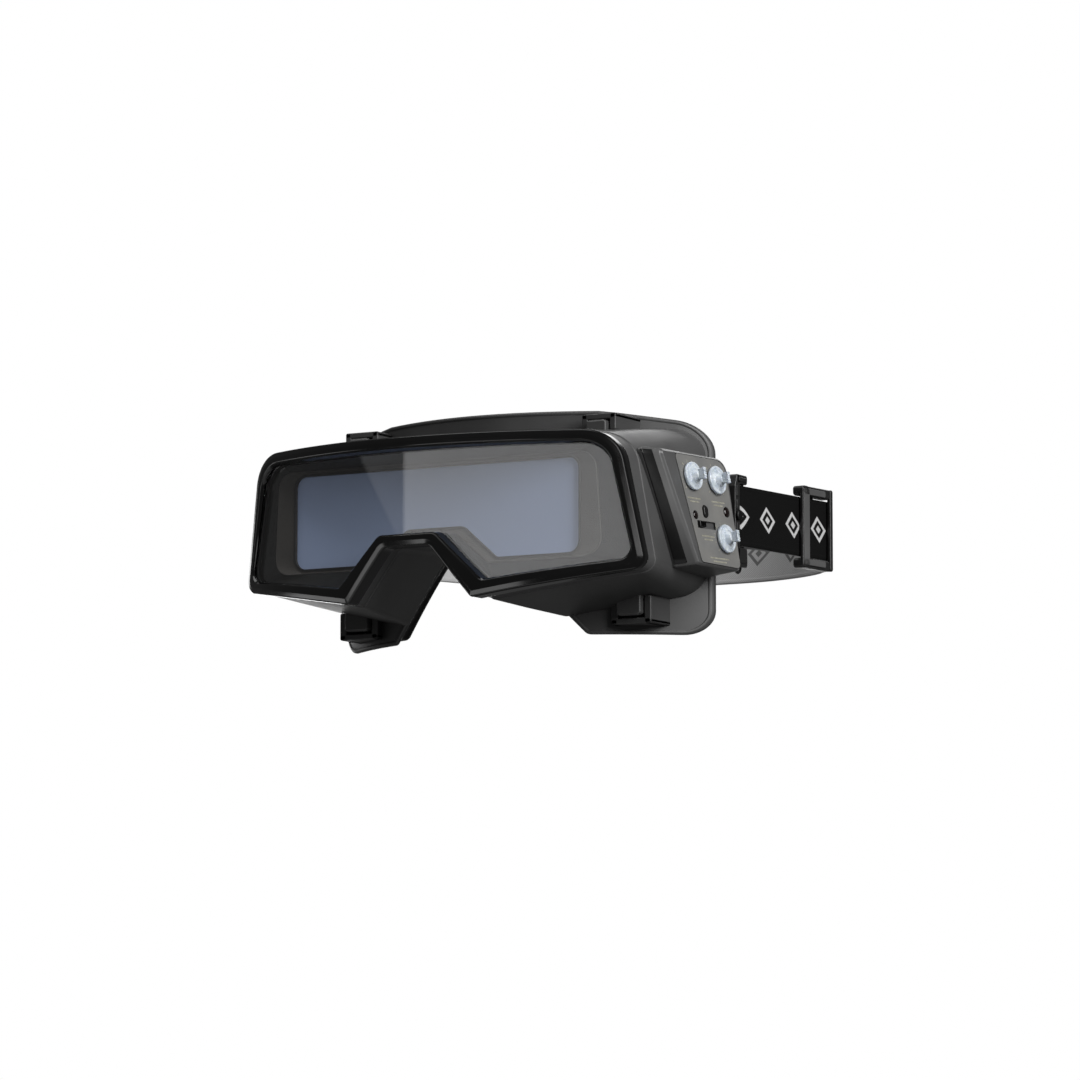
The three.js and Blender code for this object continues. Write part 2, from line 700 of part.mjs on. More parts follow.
// A knob: a disc, a cone and a finger fin that widens outwards, on a shaft.
function knob() {
  const discTop = KNOB.lift + KNOB.disc;
  const disc = solid(rod('z', KNOB.lift, discTop, KNOB.radius, [0, 0], 32));
  const shaft = solid(rod('z', -4.4, discTop - 0.6, SHAFT_R, [0, 0], 20));
  const cone = new THREE.CylinderGeometry(1.8, 4.6, 2.6, 24);
  cone.rotateX(Math.PI / 2).translate(0, 0, discTop + 1.2);
  const other = FIN_EDGE.slice(0, -1).reverse().map(([u, v]) => [-u, v]);
  const outline = [...FIN_EDGE, ...other].map((p) => new THREE.Vector2(...p));
  const fin = new THREE.ExtrudeGeometry(new THREE.Shape(outline), {
    depth: KNOB.finThick,
    bevelEnabled: false,
  });
  fin.translate(0, 0, -KNOB.finThick / 2).rotateX(Math.PI / 2).rotateZ(Math.PI / 2);
  return geometryOf(disc.add(shaft).add(solid(cone)).add(solid(fin)));
}

// A potentiometer: a ring that the knob's shaft turns in.
function potentiometer() {
  const [bore, body] = [SHAFT_R + GAP, 4.3];
  const [low, high] = [-BOARD_DEPTH + GAP, -POD_WALL - GAP - 0.2];
  const profile = [[bore, low], [body, low], [body, high], [bore, high], [bore, low]];
  const points = profile.map((p) => new THREE.Vector2(...p));
  return new THREE.LatheGeometry(points, 24).rotateX(Math.PI / 2);
}

function placed(mesh, place) {
  const [x, y] = onPanel(leftPanel, place);
  mesh.position.set(x, y, 0);
}

add('control_pod', controlPod(), shellFinish);
add('panel_label', panelLabel(), labelFinish, leftPanel);
for (const [name, place] of Object.entries(KNOBS)) {
  placed(add(`${name}_knob`, knob(), knobFinish, leftPanel), place);
  placed(add(`${name}_potentiometer`, potentiometer(), steel, leftPanel), place);
}

// The board follows the panel's tilt and stands clear of the housing wall.
function controlBoard() {
  const points = trace(BOARD, [0, 0, 0, 0]).map((p) => new THREE.Vector2(...onPanel(leftPanel, [p.x, p.y])));
  const extruded = new THREE.ExtrudeGeometry(new THREE.Shape(points), {
    depth: BOARD_THICK,
    bevelEnabled: false,
  });
  return extruded.translate(0, 0, -BOARD_DEPTH - BOARD_THICK);
}

add('control_board', controlBoard(), boardGreen, leftPanel);

function led(radius) {
  const dome = solid(new THREE.SphereGeometry(radius, 16, 10).scale(1, 1, 0.5).translate(0, 0, -0.1));
  return geometryOf(solid(rod('z', -BOARD_DEPTH + GAP, 0, radius, [0, 0], 16)).add(dome));
}

placed(add('low_battery_led', led(LED_LEFT_R), amber, leftPanel), LED_LEFT);
placed(add('status_led', led(LED_RIGHT_R), amber, leftPanel), LED_RIGHT);

function testButton() {
  const cap = solid(pill(1.6, 2.6, -2.2, 0.9));
  return geometryOf(cap.add(solid(pill(2.4, 3.4, -2.7, -2.2))));
}

placed(add('test_button', testButton(), buckle, leftPanel), TEST_BUTTON);
placed(add('tact_switch', slab([-2.6, -2.6, -BOARD_DEPTH + GAP], [2.6, 2.6, -3.8]), steel, leftPanel),
  TEST_BUTTON);

function modeSwitch() {
  const tab = solid(slab([-2.2, -1.3, -1.9], [2.2, 1.3, 1.1]));
  const rib = solid(slab([-0.5, -1.3, 0.9], [0.5, 1.3, 1.6]));
  return geometryOf(tab.add(rib).translate([-MODE_TRAVEL / 2, 0, 0]));
}

placed(add('mode_switch', modeSwitch(), buckle, leftPanel), MODE_SLOT);
placed(add('switch_body', slab([-7.2, -1.9, -BOARD_DEPTH + GAP], [7.2, 1.9, -2.3]), steel, leftPanel),
  MODE_SLOT);

// The flat cable from the board through the housing's side to the filter cartridge.
function flexCable() {
  const route = new THREE.CatmullRomCurve3(CABLE_PATH.map(([x, y]) => new THREE.Vector3(x, y, 0)));
  return ribbon(route.getPoints(20), 0.35, -3, 5);
}

// A strip of the given half thickness along a plan path, from z0 up to z1.
function ribbon(path, half, z0, z1) {
  const sides = path.map((p, i) => {
    const ahead = path[Math.min(i + 1, path.length - 1)];
    const behind = path[Math.max(i - 1, 0)];
    const along = ahead.clone().sub(behind).normalize();
    return [new THREE.Vector2(p.x - along.y * half, p.y + along.x * half),
      new THREE.Vector2(p.x + along.y * half, p.y - along.x * half)];
  });
  const outline = [...sides.map((s) => s[0]), ...sides.map((s) => s[1]).reverse()];
  const extruded = new THREE.ExtrudeGeometry(new THREE.Shape(outline), {
    depth: z1 - z0,
    bevelEnabled: false,
  });
  return extruded.translate(0, 0, z0);
}

add('flex_cable', flexCable(), amber);

// ---- battery pod ----

function batteryPod() {
  const [bx, by] = onPanel(rightPanel, [BATTERY.y, BATTERY.z]);
  const mouth = rod('z', -4, 3, BATTERY.radius + 0.6, [bx, by], 40);
  return geometryOf(podShell(-1).subtract(panelCut(rightPanel, mouth)));
}

// A round lid with a finger bar, which twists to lock.
function batteryDoor() {
  const lid = solid(rod('z', GAP, 1.8, BATTERY.radius + 3, [0, 0], 40));
  const grip = solid(pill(10.5, 1.7, 1.6, 3.6));
  return geometryOf(lid.add(grip));
}

add('battery_pod', batteryPod(), shellFinish);
const door = add('battery_door', batteryDoor(), shellFinish, rightPanel);
door.position.set(...onPanel(rightPanel, [BATTERY.y, BATTERY.z]), 0);

function coinCell() {
  const [bx, by] = onPanel(rightPanel, [BATTERY.y, BATTERY.z]);
  return rod('z', -BATTERY.thick - 0.2, -0.2, BATTERY.radius, [bx, by], 40);
}

add('battery', coinCell(), steel, rightPanel);

// ---- pod screws, driven from inside the housing ----

function podScrew(side, [y, z]) {
  const wallX = housingInnerX(y, z);
  const head = rod('x', ...spanX(side, wallX - 3, wallX - 1.1), 2.3, [y, z]);
  const shank = rod('x', ...spanX(side, wallX - 2, panelX(y, z) - 3.4), 1, [y, z], 16);
  return geometryOf(solid(head).add(solid(shank)));
}

// Where the housing's inner side wall stands at a height and depth, to within its facets.
function housingInnerX(y, z) {
  const [[topX, topZ], [lowX, lowZ]] = HOUSING_FRONT;
  const frontX = THREE.MathUtils.mapLinear(z, topZ, lowZ, topX, lowX);
  const yFront = housingFront(frontX);
  const yRear = carrierFront(HOUSING_REAR[0][0]);
  const back = (y - yFront) / (yRear - yFront);
  return THREE.MathUtils.lerp(frontX, HOUSING_REAR[0][0], back) - WALL;
}

for (const [name, side] of [['left', 1], ['right', -1]]) {
  for (const place of SCREWS) {
    const where = place[1] > 0 ? 'upper' : 'lower';
    add(`pod_screw_${name}_${where}`, podScrew(side, place), steel);
  }
}

// ---- strap, anchors and slider ----

// The strap runs straight from the left anchor through the slider, round the head and back.
function strapPath() {
  const points = [];
  const away = new THREE.Vector2(SLIDER.x - BAR.x - BAR.turn, SLIDER.y - BAR.y).normalize();
  const turn = (side) => {
    const arc = [];
    for (let k = 0; k <= 8; k++) {
      const angle = Math.PI + Math.PI * k / 8;
      arc.push([side * (BAR.x + BAR.turn * Math.cos(angle)), BAR.y + BAR.turn * Math.sin(angle)]);
    }
    return arc;
  };
  points.push(...LEFT_FOLD, ...turn(1));
  const start = new THREE.Vector2(BAR.x + BAR.turn, BAR.y);
  for (const distance of [20, 44, 68]) {
    const p = start.clone().addScaledVector(away, distance);
    points.push([p.x, p.y]);
  }
  const corners = HEAD_PATH.map(([x, y]) => new THREE.Vector3(x, y, 0));
  const round = new THREE.CatmullRomCurve3(corners, false, 'centripetal');
  points.push(...round.getPoints(48).slice(1).map((p) => [p.x, p.y]));
  points.push(...turn(-1).reverse().slice(1), ...RIGHT_FOLD);
  return points.map(([x, y]) => new THREE.Vector3(x, y, 0));
}

const STRAP_LOW = STRAP_Z - STRAP_WIDTH / 2;
const STRAP_HIGH = STRAP_Z + STRAP_WIDTH / 2;
add('strap', ribbon(strapPath(), STRAP_THICK / 2, STRAP_LOW, STRAP_HIGH), webbing);

// An anchor: a tall bracket with a slot, whose rear bar the strap turns round.
function anchorBody(side) {
  const rings = spanX(side, ...ANCHOR_X).map((x) => ANCHOR.map(([y, z]) => new THREE.Vector3(x, y, z)));
  let body = solid(block(rings, fromSide));
  const [low, high] = [STRAP_LOW - 0.6, STRAP_HIGH + 0.6];
  const cut = (x0, x1, y0, y1) => {
    const [near, far] = spanX(side, x0, x1);
    body = body.subtract(solid(slab([near, y0, low], [far, y1, high])));
  };
  cut(97, 106, 39.1, 42.4);
  cut(103.1, 106, 42.3, 47);
  cut(97, 99.9, 42.3, 47);
  const bore = rod('x', ...spanX(side, 95, 107), PIVOT.radius + GAP, [PIVOT.y, PIVOT.z]);
  return geometryOf(body.subtract(solid(bore)));
}

function pivotPin(side) {
  const across = [PIVOT.y, PIVOT.z];
  const shank = solid(rod('x', ...spanX(side, 94.9, 105.3), PIVOT.radius, across, 20));
  return geometryOf(shank.add(solid(rod('x', ...spanX(side, 105, 106.1), PIVOT.headRadius, across, 20))));
}

for (const [name, side] of [['left', 1], ['right', -1]]) {
  add(`strap_anchor_${name}`, anchorBody(side), buckle);
  add(`pivot_pin_${name}`, pivotPin(side), steel);
}

function strapSlider() {
  const [half, tall] = [SLIDER.length / 2, SLIDER.height / 2];
  const edge = STRAP_WIDTH / 2 + 0.6;
  const parts = [
    slab([-2.6, -half, edge], [2.6, half, tall]),
    slab([-2.6, -half, -tall], [2.6, half, -edge]),
    slab([1.3, -half, -tall], [3.4, SLIDER.frontBar - half, tall]),
    slab([1.3, half - SLIDER.rearBar, -tall], [3.4, half, tall]),
    slab([-3.4, -3, -tall], [-1.3, 3, tall]),
  ];
  return geometryOf(parts.map(solid).reduce((whole, part) => whole.add(part)));
}

const slider = add('strap_slider', strapSlider(), buckle);
const lean = (SLIDER.x - BAR.x - BAR.turn) / (SLIDER.y - BAR.y);
slider.position.set(BAR.x + BAR.turn + lean * (SLIDER.centre - BAR.y), SLIDER.centre, STRAP_Z);
slider.rotation.z = -Math.atan(lean);

export default goggles;
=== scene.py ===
"""Auto-darkening welding goggles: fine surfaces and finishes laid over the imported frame."""

import math

import bmesh
import bpy
import numpy as np
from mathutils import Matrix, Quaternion, Vector


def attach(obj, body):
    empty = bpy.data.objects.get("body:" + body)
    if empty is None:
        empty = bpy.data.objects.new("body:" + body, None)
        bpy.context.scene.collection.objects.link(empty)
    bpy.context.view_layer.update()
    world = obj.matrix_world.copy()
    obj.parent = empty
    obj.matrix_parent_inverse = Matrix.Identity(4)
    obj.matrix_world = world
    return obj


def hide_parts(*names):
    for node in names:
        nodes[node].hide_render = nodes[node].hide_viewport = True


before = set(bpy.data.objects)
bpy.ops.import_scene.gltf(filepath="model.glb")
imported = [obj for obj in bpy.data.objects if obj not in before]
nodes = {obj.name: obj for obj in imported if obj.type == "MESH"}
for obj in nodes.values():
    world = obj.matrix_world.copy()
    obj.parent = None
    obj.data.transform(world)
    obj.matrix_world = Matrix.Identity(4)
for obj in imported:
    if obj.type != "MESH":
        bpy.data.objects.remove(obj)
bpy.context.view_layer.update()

MM = 0.001
GAP = 0.3


# ---- outlines: corners are [across, up, corner radius], clockwise, in millimetres ----

def unit(vectors):
    """Each vector over its own length."""
    return vectors / np.maximum(np.linalg.norm(vectors, axis=-1, keepdims=True), 1e-9)


def mirrored(half):
    """The right half's corners, then the same corners in reverse with X negated."""
    half = np.array(half, float)
    return np.vstack([half, half[::-1] * [-1, 1, 1]])


def turns(corners):
    """Unit directions into and out of each corner, and the signed angle between them."""
    at = corners[:, :2]
    into, out = unit(at - np.roll(at, 1, 0)), unit(np.roll(at, -1, 0) - at)
    cross = into[:, 0] * out[:, 1] - into[:, 1] * out[:, 0]
    return into, out, np.arctan2(cross, (into * out).sum(1))


def offset(corners, distance):
    """Every edge moved inwards by the distance: a corner moves along the sum of its edge normals over
    1 + cos(turn), and its radius shrinks by the distance outside a bend and grows inside one."""
    into, out, turn = turns(corners)
    normal = np.stack([into[:, 1] + out[:, 1], -into[:, 0] - out[:, 0]], 1)
    reach = distance / (1 + (into * out).sum(1))
    radius = np.maximum(0.4, np.where(turn < 0, corners[:, 2] - distance, corners[:, 2] + distance))
    return np.column_stack([corners[:, :2] + normal * reach[:, None], radius])


def trace(corners, arc=8, edge=14):
    """The outline's points: a circular arc at each corner, tangent to both edges, then even steps to
    the next arc."""
    corners = np.asarray(corners, float)
    into, _, turn = turns(corners)
    start = corners[:, :2] - into * (corners[:, 2] * np.tan(np.abs(turn) / 2))[:, None]
    bend = (np.sign(turn) * corners[:, 2])[:, None]
    centre = start + np.stack([-into[:, 1], into[:, 0]], 1) * bend
    spoke = start - centre
    angle = turn[:, None] * np.linspace(0, 1, arc + 1)
    cos, sin = np.cos(angle), np.sin(angle)
    arcs = centre[:, None] + np.stack(
        [spoke[:, :1] * cos - spoke[:, 1:] * sin, spoke[:, :1] * sin + spoke[:, 1:] * cos], -1)
    share = np.linspace(0, 1, edge + 2)[1:-1][None, :, None]
    last, following = arcs[:, -1:], np.roll(arcs[:, 0], -1, 0)[:, None]
    return np.concatenate([arcs, last + (following - last) * share], 1).reshape(-1, 2)


RIM_OUTER = mirrored([[91.5, 30.6, 16], [102, -29.5, 6], [31, -41.2, 2.5], [11.5, -17.5, 5]])
RIM_INNER = mirrored([[86.8, 24.8, 12], [96.4, -24.8, 5], [36.3, -32.9, 2], [14.7, -11.5, 5]])
BEZEL_RIDGE = mirrored([[80.5, 22, 8], [83.5, -23.6, 8], [27.5, -24, 3], [11, -10, 4]])
WINDOW = mirrored([[72, 19.7, 5], [72, -21.5, 5], [31, -21.5, 4], [14.3, -7, 5]])
HOUSING_REAR = mirrored([[93, 39.5, 12], [93, -34, 12], [39.5, -45, 5], [14, -14, 6]])
CARRIER_EDGE = mirrored([[95, 47, 13], [95, -52, 11], [49, -52, 3], [15, -14.5, 6]])
SEAL_EDGE = mirrored([[88.5, 42.5, 12], [88.5, -47.5, 10], [47.5, -48, 3], [17, -12.2, 6]])
SEAL_OPENING = mirrored([[79, 30, 14], [79, -35, 13], [55, -38, 8], [20.5, -3, 8]])
HOUSING_FRONT = offset(RIM_OUTER, 1.3)
LENS_EDGE = offset(RIM_INNER, -2)
POD_BASE = np.array([[-32.5, 24.5, 2], [30.5, 26.5, 7], [30.5, -27, 4], [-9, -26, 2]], float)
POD_TOP = np.array([[-22.5, 24.8, 2], [29.3, 25, 7], [29.6, -25.2, 4], [-4.5, -25, 2]], float)
LABEL = np.array([[-11.5, 23.6, 1.5], [26.5, 23.8, 6], [28.4, -23.8, 2.5], [-1.5, -23.4, 1.5]], float)


RIM_RADIUS, RIM_APEX = 180, -73.5
LENS_RADIUS, LENS_APEX, LENS_THICK = 208, -67.5, 2.0
FRAME_DEPTH = 3.5
CARRIER_APEX, CARRIER_BOW = -12, 0.0049
RIDGE_FRONT, RIDGE_CLEARANCE = -49, 0.9
SAG_FROM_X, SAG_FROM_Z, SAG_SLOPE = 55, 20, 0.14


def rim_front(x):
    """Plan curve of the rim's face, an arc of the rim's radius."""
    return RIM_APEX + RIM_RADIUS - np.sqrt(RIM_RADIUS**2 - x**2)


def lens_front(x):
    """Plan curve of the cover lens, an arc of the lens's radius."""
    return LENS_APEX + LENS_RADIUS - np.sqrt(LENS_RADIUS**2 - x**2)


def frame_back(x):
    """Plan curve of the front frame's back, its depth behind the lens's face."""
    return lens_front(x) + FRAME_DEPTH


def housing_front(x):
    """Plan curve a gap behind the front frame."""
    return frame_back(x) + GAP


def carrier_front(x):
    """Plan parabola of the seal carrier's front: the apex plus the bow times x squared."""
    return CARRIER_APEX + CARRIER_BOW * x**2


def ridge_y(x):
    """The bezel's ridge: flat, but always its clearance behind the lens."""
    return np.maximum(RIDGE_FRONT, lens_front(x) + LENS_THICK + RIDGE_CLEARANCE)


def ring(corners, depth, shift=0.0, sag=False, **counts):
    """The outline in X and Z with Y from its plan curve. A sagging ring's upper points drop by the sag's
    slope times how far out they lie past the sag's start."""
    flat = trace(corners, **counts)
    x, z = flat[:, 0], flat[:, 1]
    y = (depth(x) if callable(depth) else np.full(len(x), float(depth))) + shift
    if sag:
        z = z - np.where(z > SAG_FROM_Z, SAG_SLOPE * np.maximum(0, np.abs(x) - SAG_FROM_X), 0)
    return np.stack([x, y, z], 1)


# ---- surfaces: a part is (points, faces, wear) ----

def soften(rings, radii, closed=True, steps=4):
    """Rounds a section's corners: each ring gives way to rings on a quadratic arc that leaves its two
    neighbours' directions at the ring's own radius. Wear is 1 in the middle of a sharp corner's arc, and 0
    at its ends and where the section hardly bends."""
    rings = np.array(rings, float)
    radii = np.maximum(np.broadcast_to(np.array(radii, float), (len(rings),)), 0.02)[:, None, None]
    before, after = np.roll(rings, 1, 0), np.roll(rings, -1, 0)
    if not closed:
        before[0], after[-1] = rings[0], rings[-1]

    def towards(other):
        gap = other - rings
        length = np.linalg.norm(gap, axis=2, keepdims=True)
        return rings + gap * np.minimum(radii / np.maximum(length, 1e-6), 0.45)

    t = np.linspace(0, 1, steps + 1)[None, :, None, None]
    arcs = ((1 - t)**2 * towards(before)[:, None] + 2 * t * (1 - t) * rings[:, None]
            + t**2 * towards(after)[:, None])
    bend = 1 - (unit(rings - before) * unit(after - rings)).sum(2)
    worn = 4 * t[..., 0] * (1 - t[..., 0]) * np.clip(2 * bend - 0.1, 0, 1)[:, None]
    return arcs.reshape(-1, rings.shape[1], 3), worn.reshape(-1, rings.shape[1])


def loft(rings, wear=None, closed=False):
    """Quads between neighbouring rings. A closed loft joins its last ring to its first, an open one has a
    flat cap at each end."""
    rings = np.array(rings, float)
    count, size = rings.shape[:2]
    r, i = np.arange(count if closed else count - 1)[:, None], np.arange(size)[None]
    j, s = (i + 1) % size, (r + 1) % count
    quads = np.stack([r * size + i, r * size + j, s * size + j, s * size + i], -1).reshape(-1, 4)
    faces = quads.tolist()
    if not closed:
        faces.append(list(range(size))[::-1])
        faces.append(list(range((count - 1) * size, count * size)))
    return rings.reshape(-1, 3), faces, np.zeros(count * size) if wear is None else wear.reshape(-1)


def soft_loft(rings, radii, closed=True, steps=4):
    """A loft with its section's corners rounded."""
    rounded, wear = soften(rings, radii, closed, steps)
    return loft(rounded, wear, closed)


AXES = {"x": [2, 0, 1], "y": [0, 2, 1], "z": [0, 1, 2]}


def pillow(corners, low, high, edge=0.5, axis="y", arc=6, steps=4, side=1):
    """A plate of the outline between two heights along the axis, its rims rounded: at angle t round a rim
    the outline is inset by edge (1 - sin t) and stands edge (1 - cos t) in from the face."""
    t = np.linspace(0, math.pi / 2, steps + 1)
    insets, lifts = edge * (1 - np.sin(t)), edge * (1 - np.cos(t))
    heights = np.concatenate([low + lifts, high - lifts[::-1]])
    corners = np.asarray(corners, float)
    outlines = [trace(offset(corners, d), arc, 2) for d in np.concatenate([insets, insets[::-1]])]
    rings = np.array([np.column_stack([flat, np.full(len(flat), h)]) for flat, h in zip(outlines, heights)])
    worn = np.sin(2 * t)
    wear = np.repeat(np.concatenate([worn, worn[::-1]])[:, None], rings.shape[1], 1)
    placed = rings[..., AXES[axis]]
    placed[..., 0] *= side
    return loft(placed, wear)


def oblong(u0, u1, v0, v1, radius=0.8):
    """A rectangle's corners with one radius, clockwise."""
    u0, u1, v0, v1 = min(u0, u1), max(u0, u1), min(v0, v1), max(v0, v1)
    return np.array([[u1, v1, radius], [u1, v0, radius], [u0, v0, radius], [u0, v1, radius]], float)


def lathe(profile, segments=64, edge=0.2, steps=3):
    """A profile of [radius, height] turned about Z, its corners rounded by quadratic arcs."""
    profile = np.array(profile, float)
    angle = np.linspace(0, 2 * math.pi, segments, endpoint=False)
    rings = np.stack([profile[:, :1] * np.cos(angle), profile[:, :1] * np.sin(angle),
                      np.repeat(profile[:, 1:], segments, 1)], -1)
    return soft_loft(rings, edge, closed=False, steps=steps)


def turned(angle):
    """Axes turned clockwise by an angle, seen from above."""
    return [[math.cos(angle), math.sin(angle), 0], [-math.sin(angle), math.cos(angle), 0], [0, 0, 1]]


def moved(part, basis, origin=(0, 0, 0)):
    """The part's points carried into axes whose columns are the basis, at an origin."""
    points, faces, wear = part
    return points @ np.array(basis).T + np.array(origin), faces, wear


def volume(points, faces):
    """Six times the signed volume: the sum of triple products over each face's fan of triangles."""
    quads = np.array([f for f in faces if len(f) == 4])
    total = 0.0
    fans = [] if not len(quads) else [quads[:, [0, 1, 2]], quads[:, [0, 2, 3]]]
    fans += [np.array([[f[0], f[k], f[k + 1]] for k in range(1, len(f) - 1)]) for f in faces if len(f) != 4]
    for tri in fans:
        a, b, c = points[tri[:, 0]], points[tri[:, 1]], points[tri[:, 2]]
        total += float((a * np.cross(b, c)).sum())
    return total


def piece(name, parts, finish, body, stands_for=(), smooth=True, attributes=None):
    """One mesh of all its parts, faces outwards, with wear as an attribute. It rides on a body and
    stands for CAD nodes."""
    points, faces, wear, start = [], [], [], 0
    for p, f, w in parts:
        flip = volume(p, f) < 0
        faces += [[start + i for i in (face[::-1] if flip else face)] for face in f]
        points.append(p)
        wear.append(w)
        start += len(p)
    mesh = bpy.data.meshes.new(name)
    mesh.from_pydata((np.concatenate(points) * MM).tolist(), [], faces)
    values = {"wear": np.concatenate(wear), **(attributes or {})}
    for key, value in values.items():
        mesh.attributes.new(key, "FLOAT", "POINT").data.foreach_set("value", np.asarray(value, np.float32))
    mesh.polygons.foreach_set("use_smooth", [smooth] * len(mesh.polygons))
    mesh.materials.append(finish)
    obj = bpy.data.objects.new(name, mesh)
    bpy.context.scene.collection.objects.link(obj)
    if smooth:
        weighted = obj.modifiers.new("face normals", "WEIGHTED_NORMAL")
        weighted.weight = 60
    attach(obj, body)
    if stands_for:
        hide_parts(*stands_for)
    return obj


def weld(obj, distance=1e-6):
    """Merges a mesh's doubled points, as at the pointed ends of a grid."""
    bm = bmesh.new()
    bm.from_mesh(obj.data)
    bmesh.ops.remove_doubles(bm, verts=bm.verts, dist=distance)
    bmesh.ops.dissolve_degenerate(bm, edges=bm.edges, dist=distance)
    bmesh.ops.recalc_face_normals(bm, faces=bm.faces)
    bm.to_mesh(obj.data)
    bm.free()
    return obj


# ---- finishes ----

def shade(value):
    """A screen grey or colour from 0 to 255 as linear light."""
    channels = np.array([value] * 3 if np.isscalar(value) else value, float) / 255
    linear = np.where(channels <= 0.04045, channels / 12.92, ((channels + 0.055) / 1.055)**2.4)
    return (*[float(c) for c in linear], 1.0)


class Finish:
    """A node material on a Principled shader, with helpers that each add one procedural layer."""

    def __init__(self, name, colour, roughness, metal=0.0, **fixed):
        self.material = bpy.data.materials.new(name)
        self.material.use_nodes = True
        self.tree = self.material.node_tree
        self.shader = self.tree.nodes["Principled BSDF"]
        self.place = self.node("ShaderNodeTexCoord").outputs["Object"]
        self.set(self.shader, "Base Color", colour)
        self.set(self.shader, "Roughness", roughness)
        self.set(self.shader, "Metallic", metal)
        for socket, value in fixed.items():
            self.set(self.shader, socket.replace("_", " "), value)

    def node(self, kind, **settings):
        made = self.tree.nodes.new(kind)
        for key, value in settings.items():
            setattr(made, key, value)
        return made

    def set(self, node, socket, value):
        target = node.inputs[socket]
        if hasattr(value, "is_output"):
            self.tree.links.new(value, target)
        else:
            target.default_value = value

    def noise(self, scale, detail=3.0, where=None):
        """Fractal noise with this many cells a metre."""
        made = self.node("ShaderNodeTexNoise")
        self.set(made, "Vector", where or self.place)
        self.set(made, "Scale", scale)
        self.set(made, "Detail", detail)
        return made.outputs["Fac"]

    def cells(self, scale):
        """Distance to the nearest of scattered points, this many a metre."""
        made = self.node("ShaderNodeTexVoronoi")
        self.set(made, "Vector", self.place)
        self.set(made, "Scale", scale)
        return made.outputs["Distance"]

    def spread(self, value, from_low, from_high, to_low, to_high):
        """A value carried from one range to another and clamped."""
        made = self.node("ShaderNodeMapRange")
        for socket, given in zip(["Value", "From Min", "From Max", "To Min", "To Max"],
                                 [value, from_low, from_high, to_low, to_high]):
            self.set(made, socket, given)
        return made.outputs["Result"]

    def sum(self, kind, a, b=0.0, c=0.0):
        """One Math node."""
        made = self.node("ShaderNodeMath", operation=kind)
        for index, given in enumerate([a, b, c]):
            self.set(made, index, given)
        return made.outputs["Value"]

    def blend(self, share, low, high):
        """Two colours mixed by a share."""
        made = self.node("ShaderNodeMix", data_type="RGBA")
        for index, given in [(0, share), (6, low), (7, high)]:
            self.set(made, index, given)
        return made.outputs[2]

    def attribute(self, name):
        return self.node("ShaderNodeAttribute", attribute_name=name).outputs["Fac"]

    def bump(self, height, distance, strength=1.0, over=None):
        """Adds a bump of this height in millimetres, over an earlier one."""
        made = self.node("ShaderNodeBump")
        self.set(made, "Height", height)
        self.set(made, "Distance", distance * MM)
        self.set(made, "Strength", strength)
        if over is not None:
            self.set(made, "Normal", over)
        self.set(self.shader, "Normal", made.outputs["Normal"])
        return made.outputs["Normal"]

    def tones(self, dark, light, scale, worn=None, wear=0.6, detail=3.0):
        """Colour drifting between two tones over the piece, with paler rubbed edges."""
        colour = self.blend(self.spread(self.noise(scale, detail), 0.35, 0.65, 0, 1), dark, light)
        if worn is not None:
            patches = self.spread(self.noise(260), 0.5, 0.72, 0, wear)
            rubbed = self.sum("MULTIPLY", self.attribute("wear"), patches)
            colour = self.blend(rubbed, colour, worn)
        self.set(self.shader, "Base Color", colour)

    def sheen_drift(self, low, high, scale, detail=5.0):
        """Roughness drifting between two values, as handled plastic does."""
        self.set(self.shader, "Roughness", self.spread(self.noise(scale, detail), 0.3, 0.7, low, high))


def moulded(name, dark, light, worn, rough, grain=0.02, grain_scale=2600, **fixed):
    """Moulded plastic: two close tones, drifting gloss, fine spark grain and rubbed edges."""
    made = Finish(name, shade(light), rough[0], **fixed)
    made.tones(shade(dark), shade(light), 28, shade(worn))
    made.sheen_drift(rough[0], rough[1], 55)
    made.bump(made.noise(grain_scale, 2), grain)
    return made.material


def gloss_finish():
    made = Finish("piano black moulding", shade(16), 0.12, Specular_IOR_Level=0.5)
    made.tones(shade(14), shade(20), 24, shade(58), 0.5)
    made.sheen_drift(0.1, 0.2, 70)
    made.bump(made.noise(60, 2), 0.03, 0.6)
    return made.material


def foam_finish():
    """Flocked foam: short pile as fine noise over soft pores, with a sheen."""
    made = Finish("flocked seal foam", shade(26), 0.95, Sheen_Weight=0.35, Sheen_Roughness=0.5)
    made.tones(shade(20), shade(34), 140)
    soft = made.bump(made.cells(420), 0.35, 0.7)
    made.bump(made.noise(3400, 3), 0.12, 0.8, over=soft)
    return made.material


def glass_finish(name, tint):
    """Clear sheet: tinted light straight through, plus a mirror layer of a black glossy shader."""
    made = Finish(name, shade(0), 0.0, IOR=1.5)
    through = made.node("ShaderNodeBsdfTransparent")
    haze = made.spread(made.noise(18, 3), 0.3, 0.7, 0.0, 1.0)
    made.set(through, "Color", made.blend(haze, (*tint, 1), (*[c * 0.97 for c in tint], 1)))
    both = made.node("ShaderNodeAddShader")
    made.tree.links.new(through.outputs[0], both.inputs[0])
    made.tree.links.new(made.shader.outputs[0], both.inputs[1])
    output = next(n for n in made.tree.nodes if n.type == "OUTPUT_MATERIAL")
    made.tree.links.new(both.outputs[0], output.inputs["Surface"])
    return made.material


def filter_finish():
    """The darkening filter's front: a blue coating that shifts slightly over the glass."""
    made = Finish("filter coating", shade((146, 160, 190)), 0.1, Specular_IOR_Level=0.5)
    made.tones(shade((142, 156, 186)), shade((151, 165, 194)), 9, detail=2.0)
    made.sheen_drift(0.08, 0.14, 50, 3.0)
    return made.material


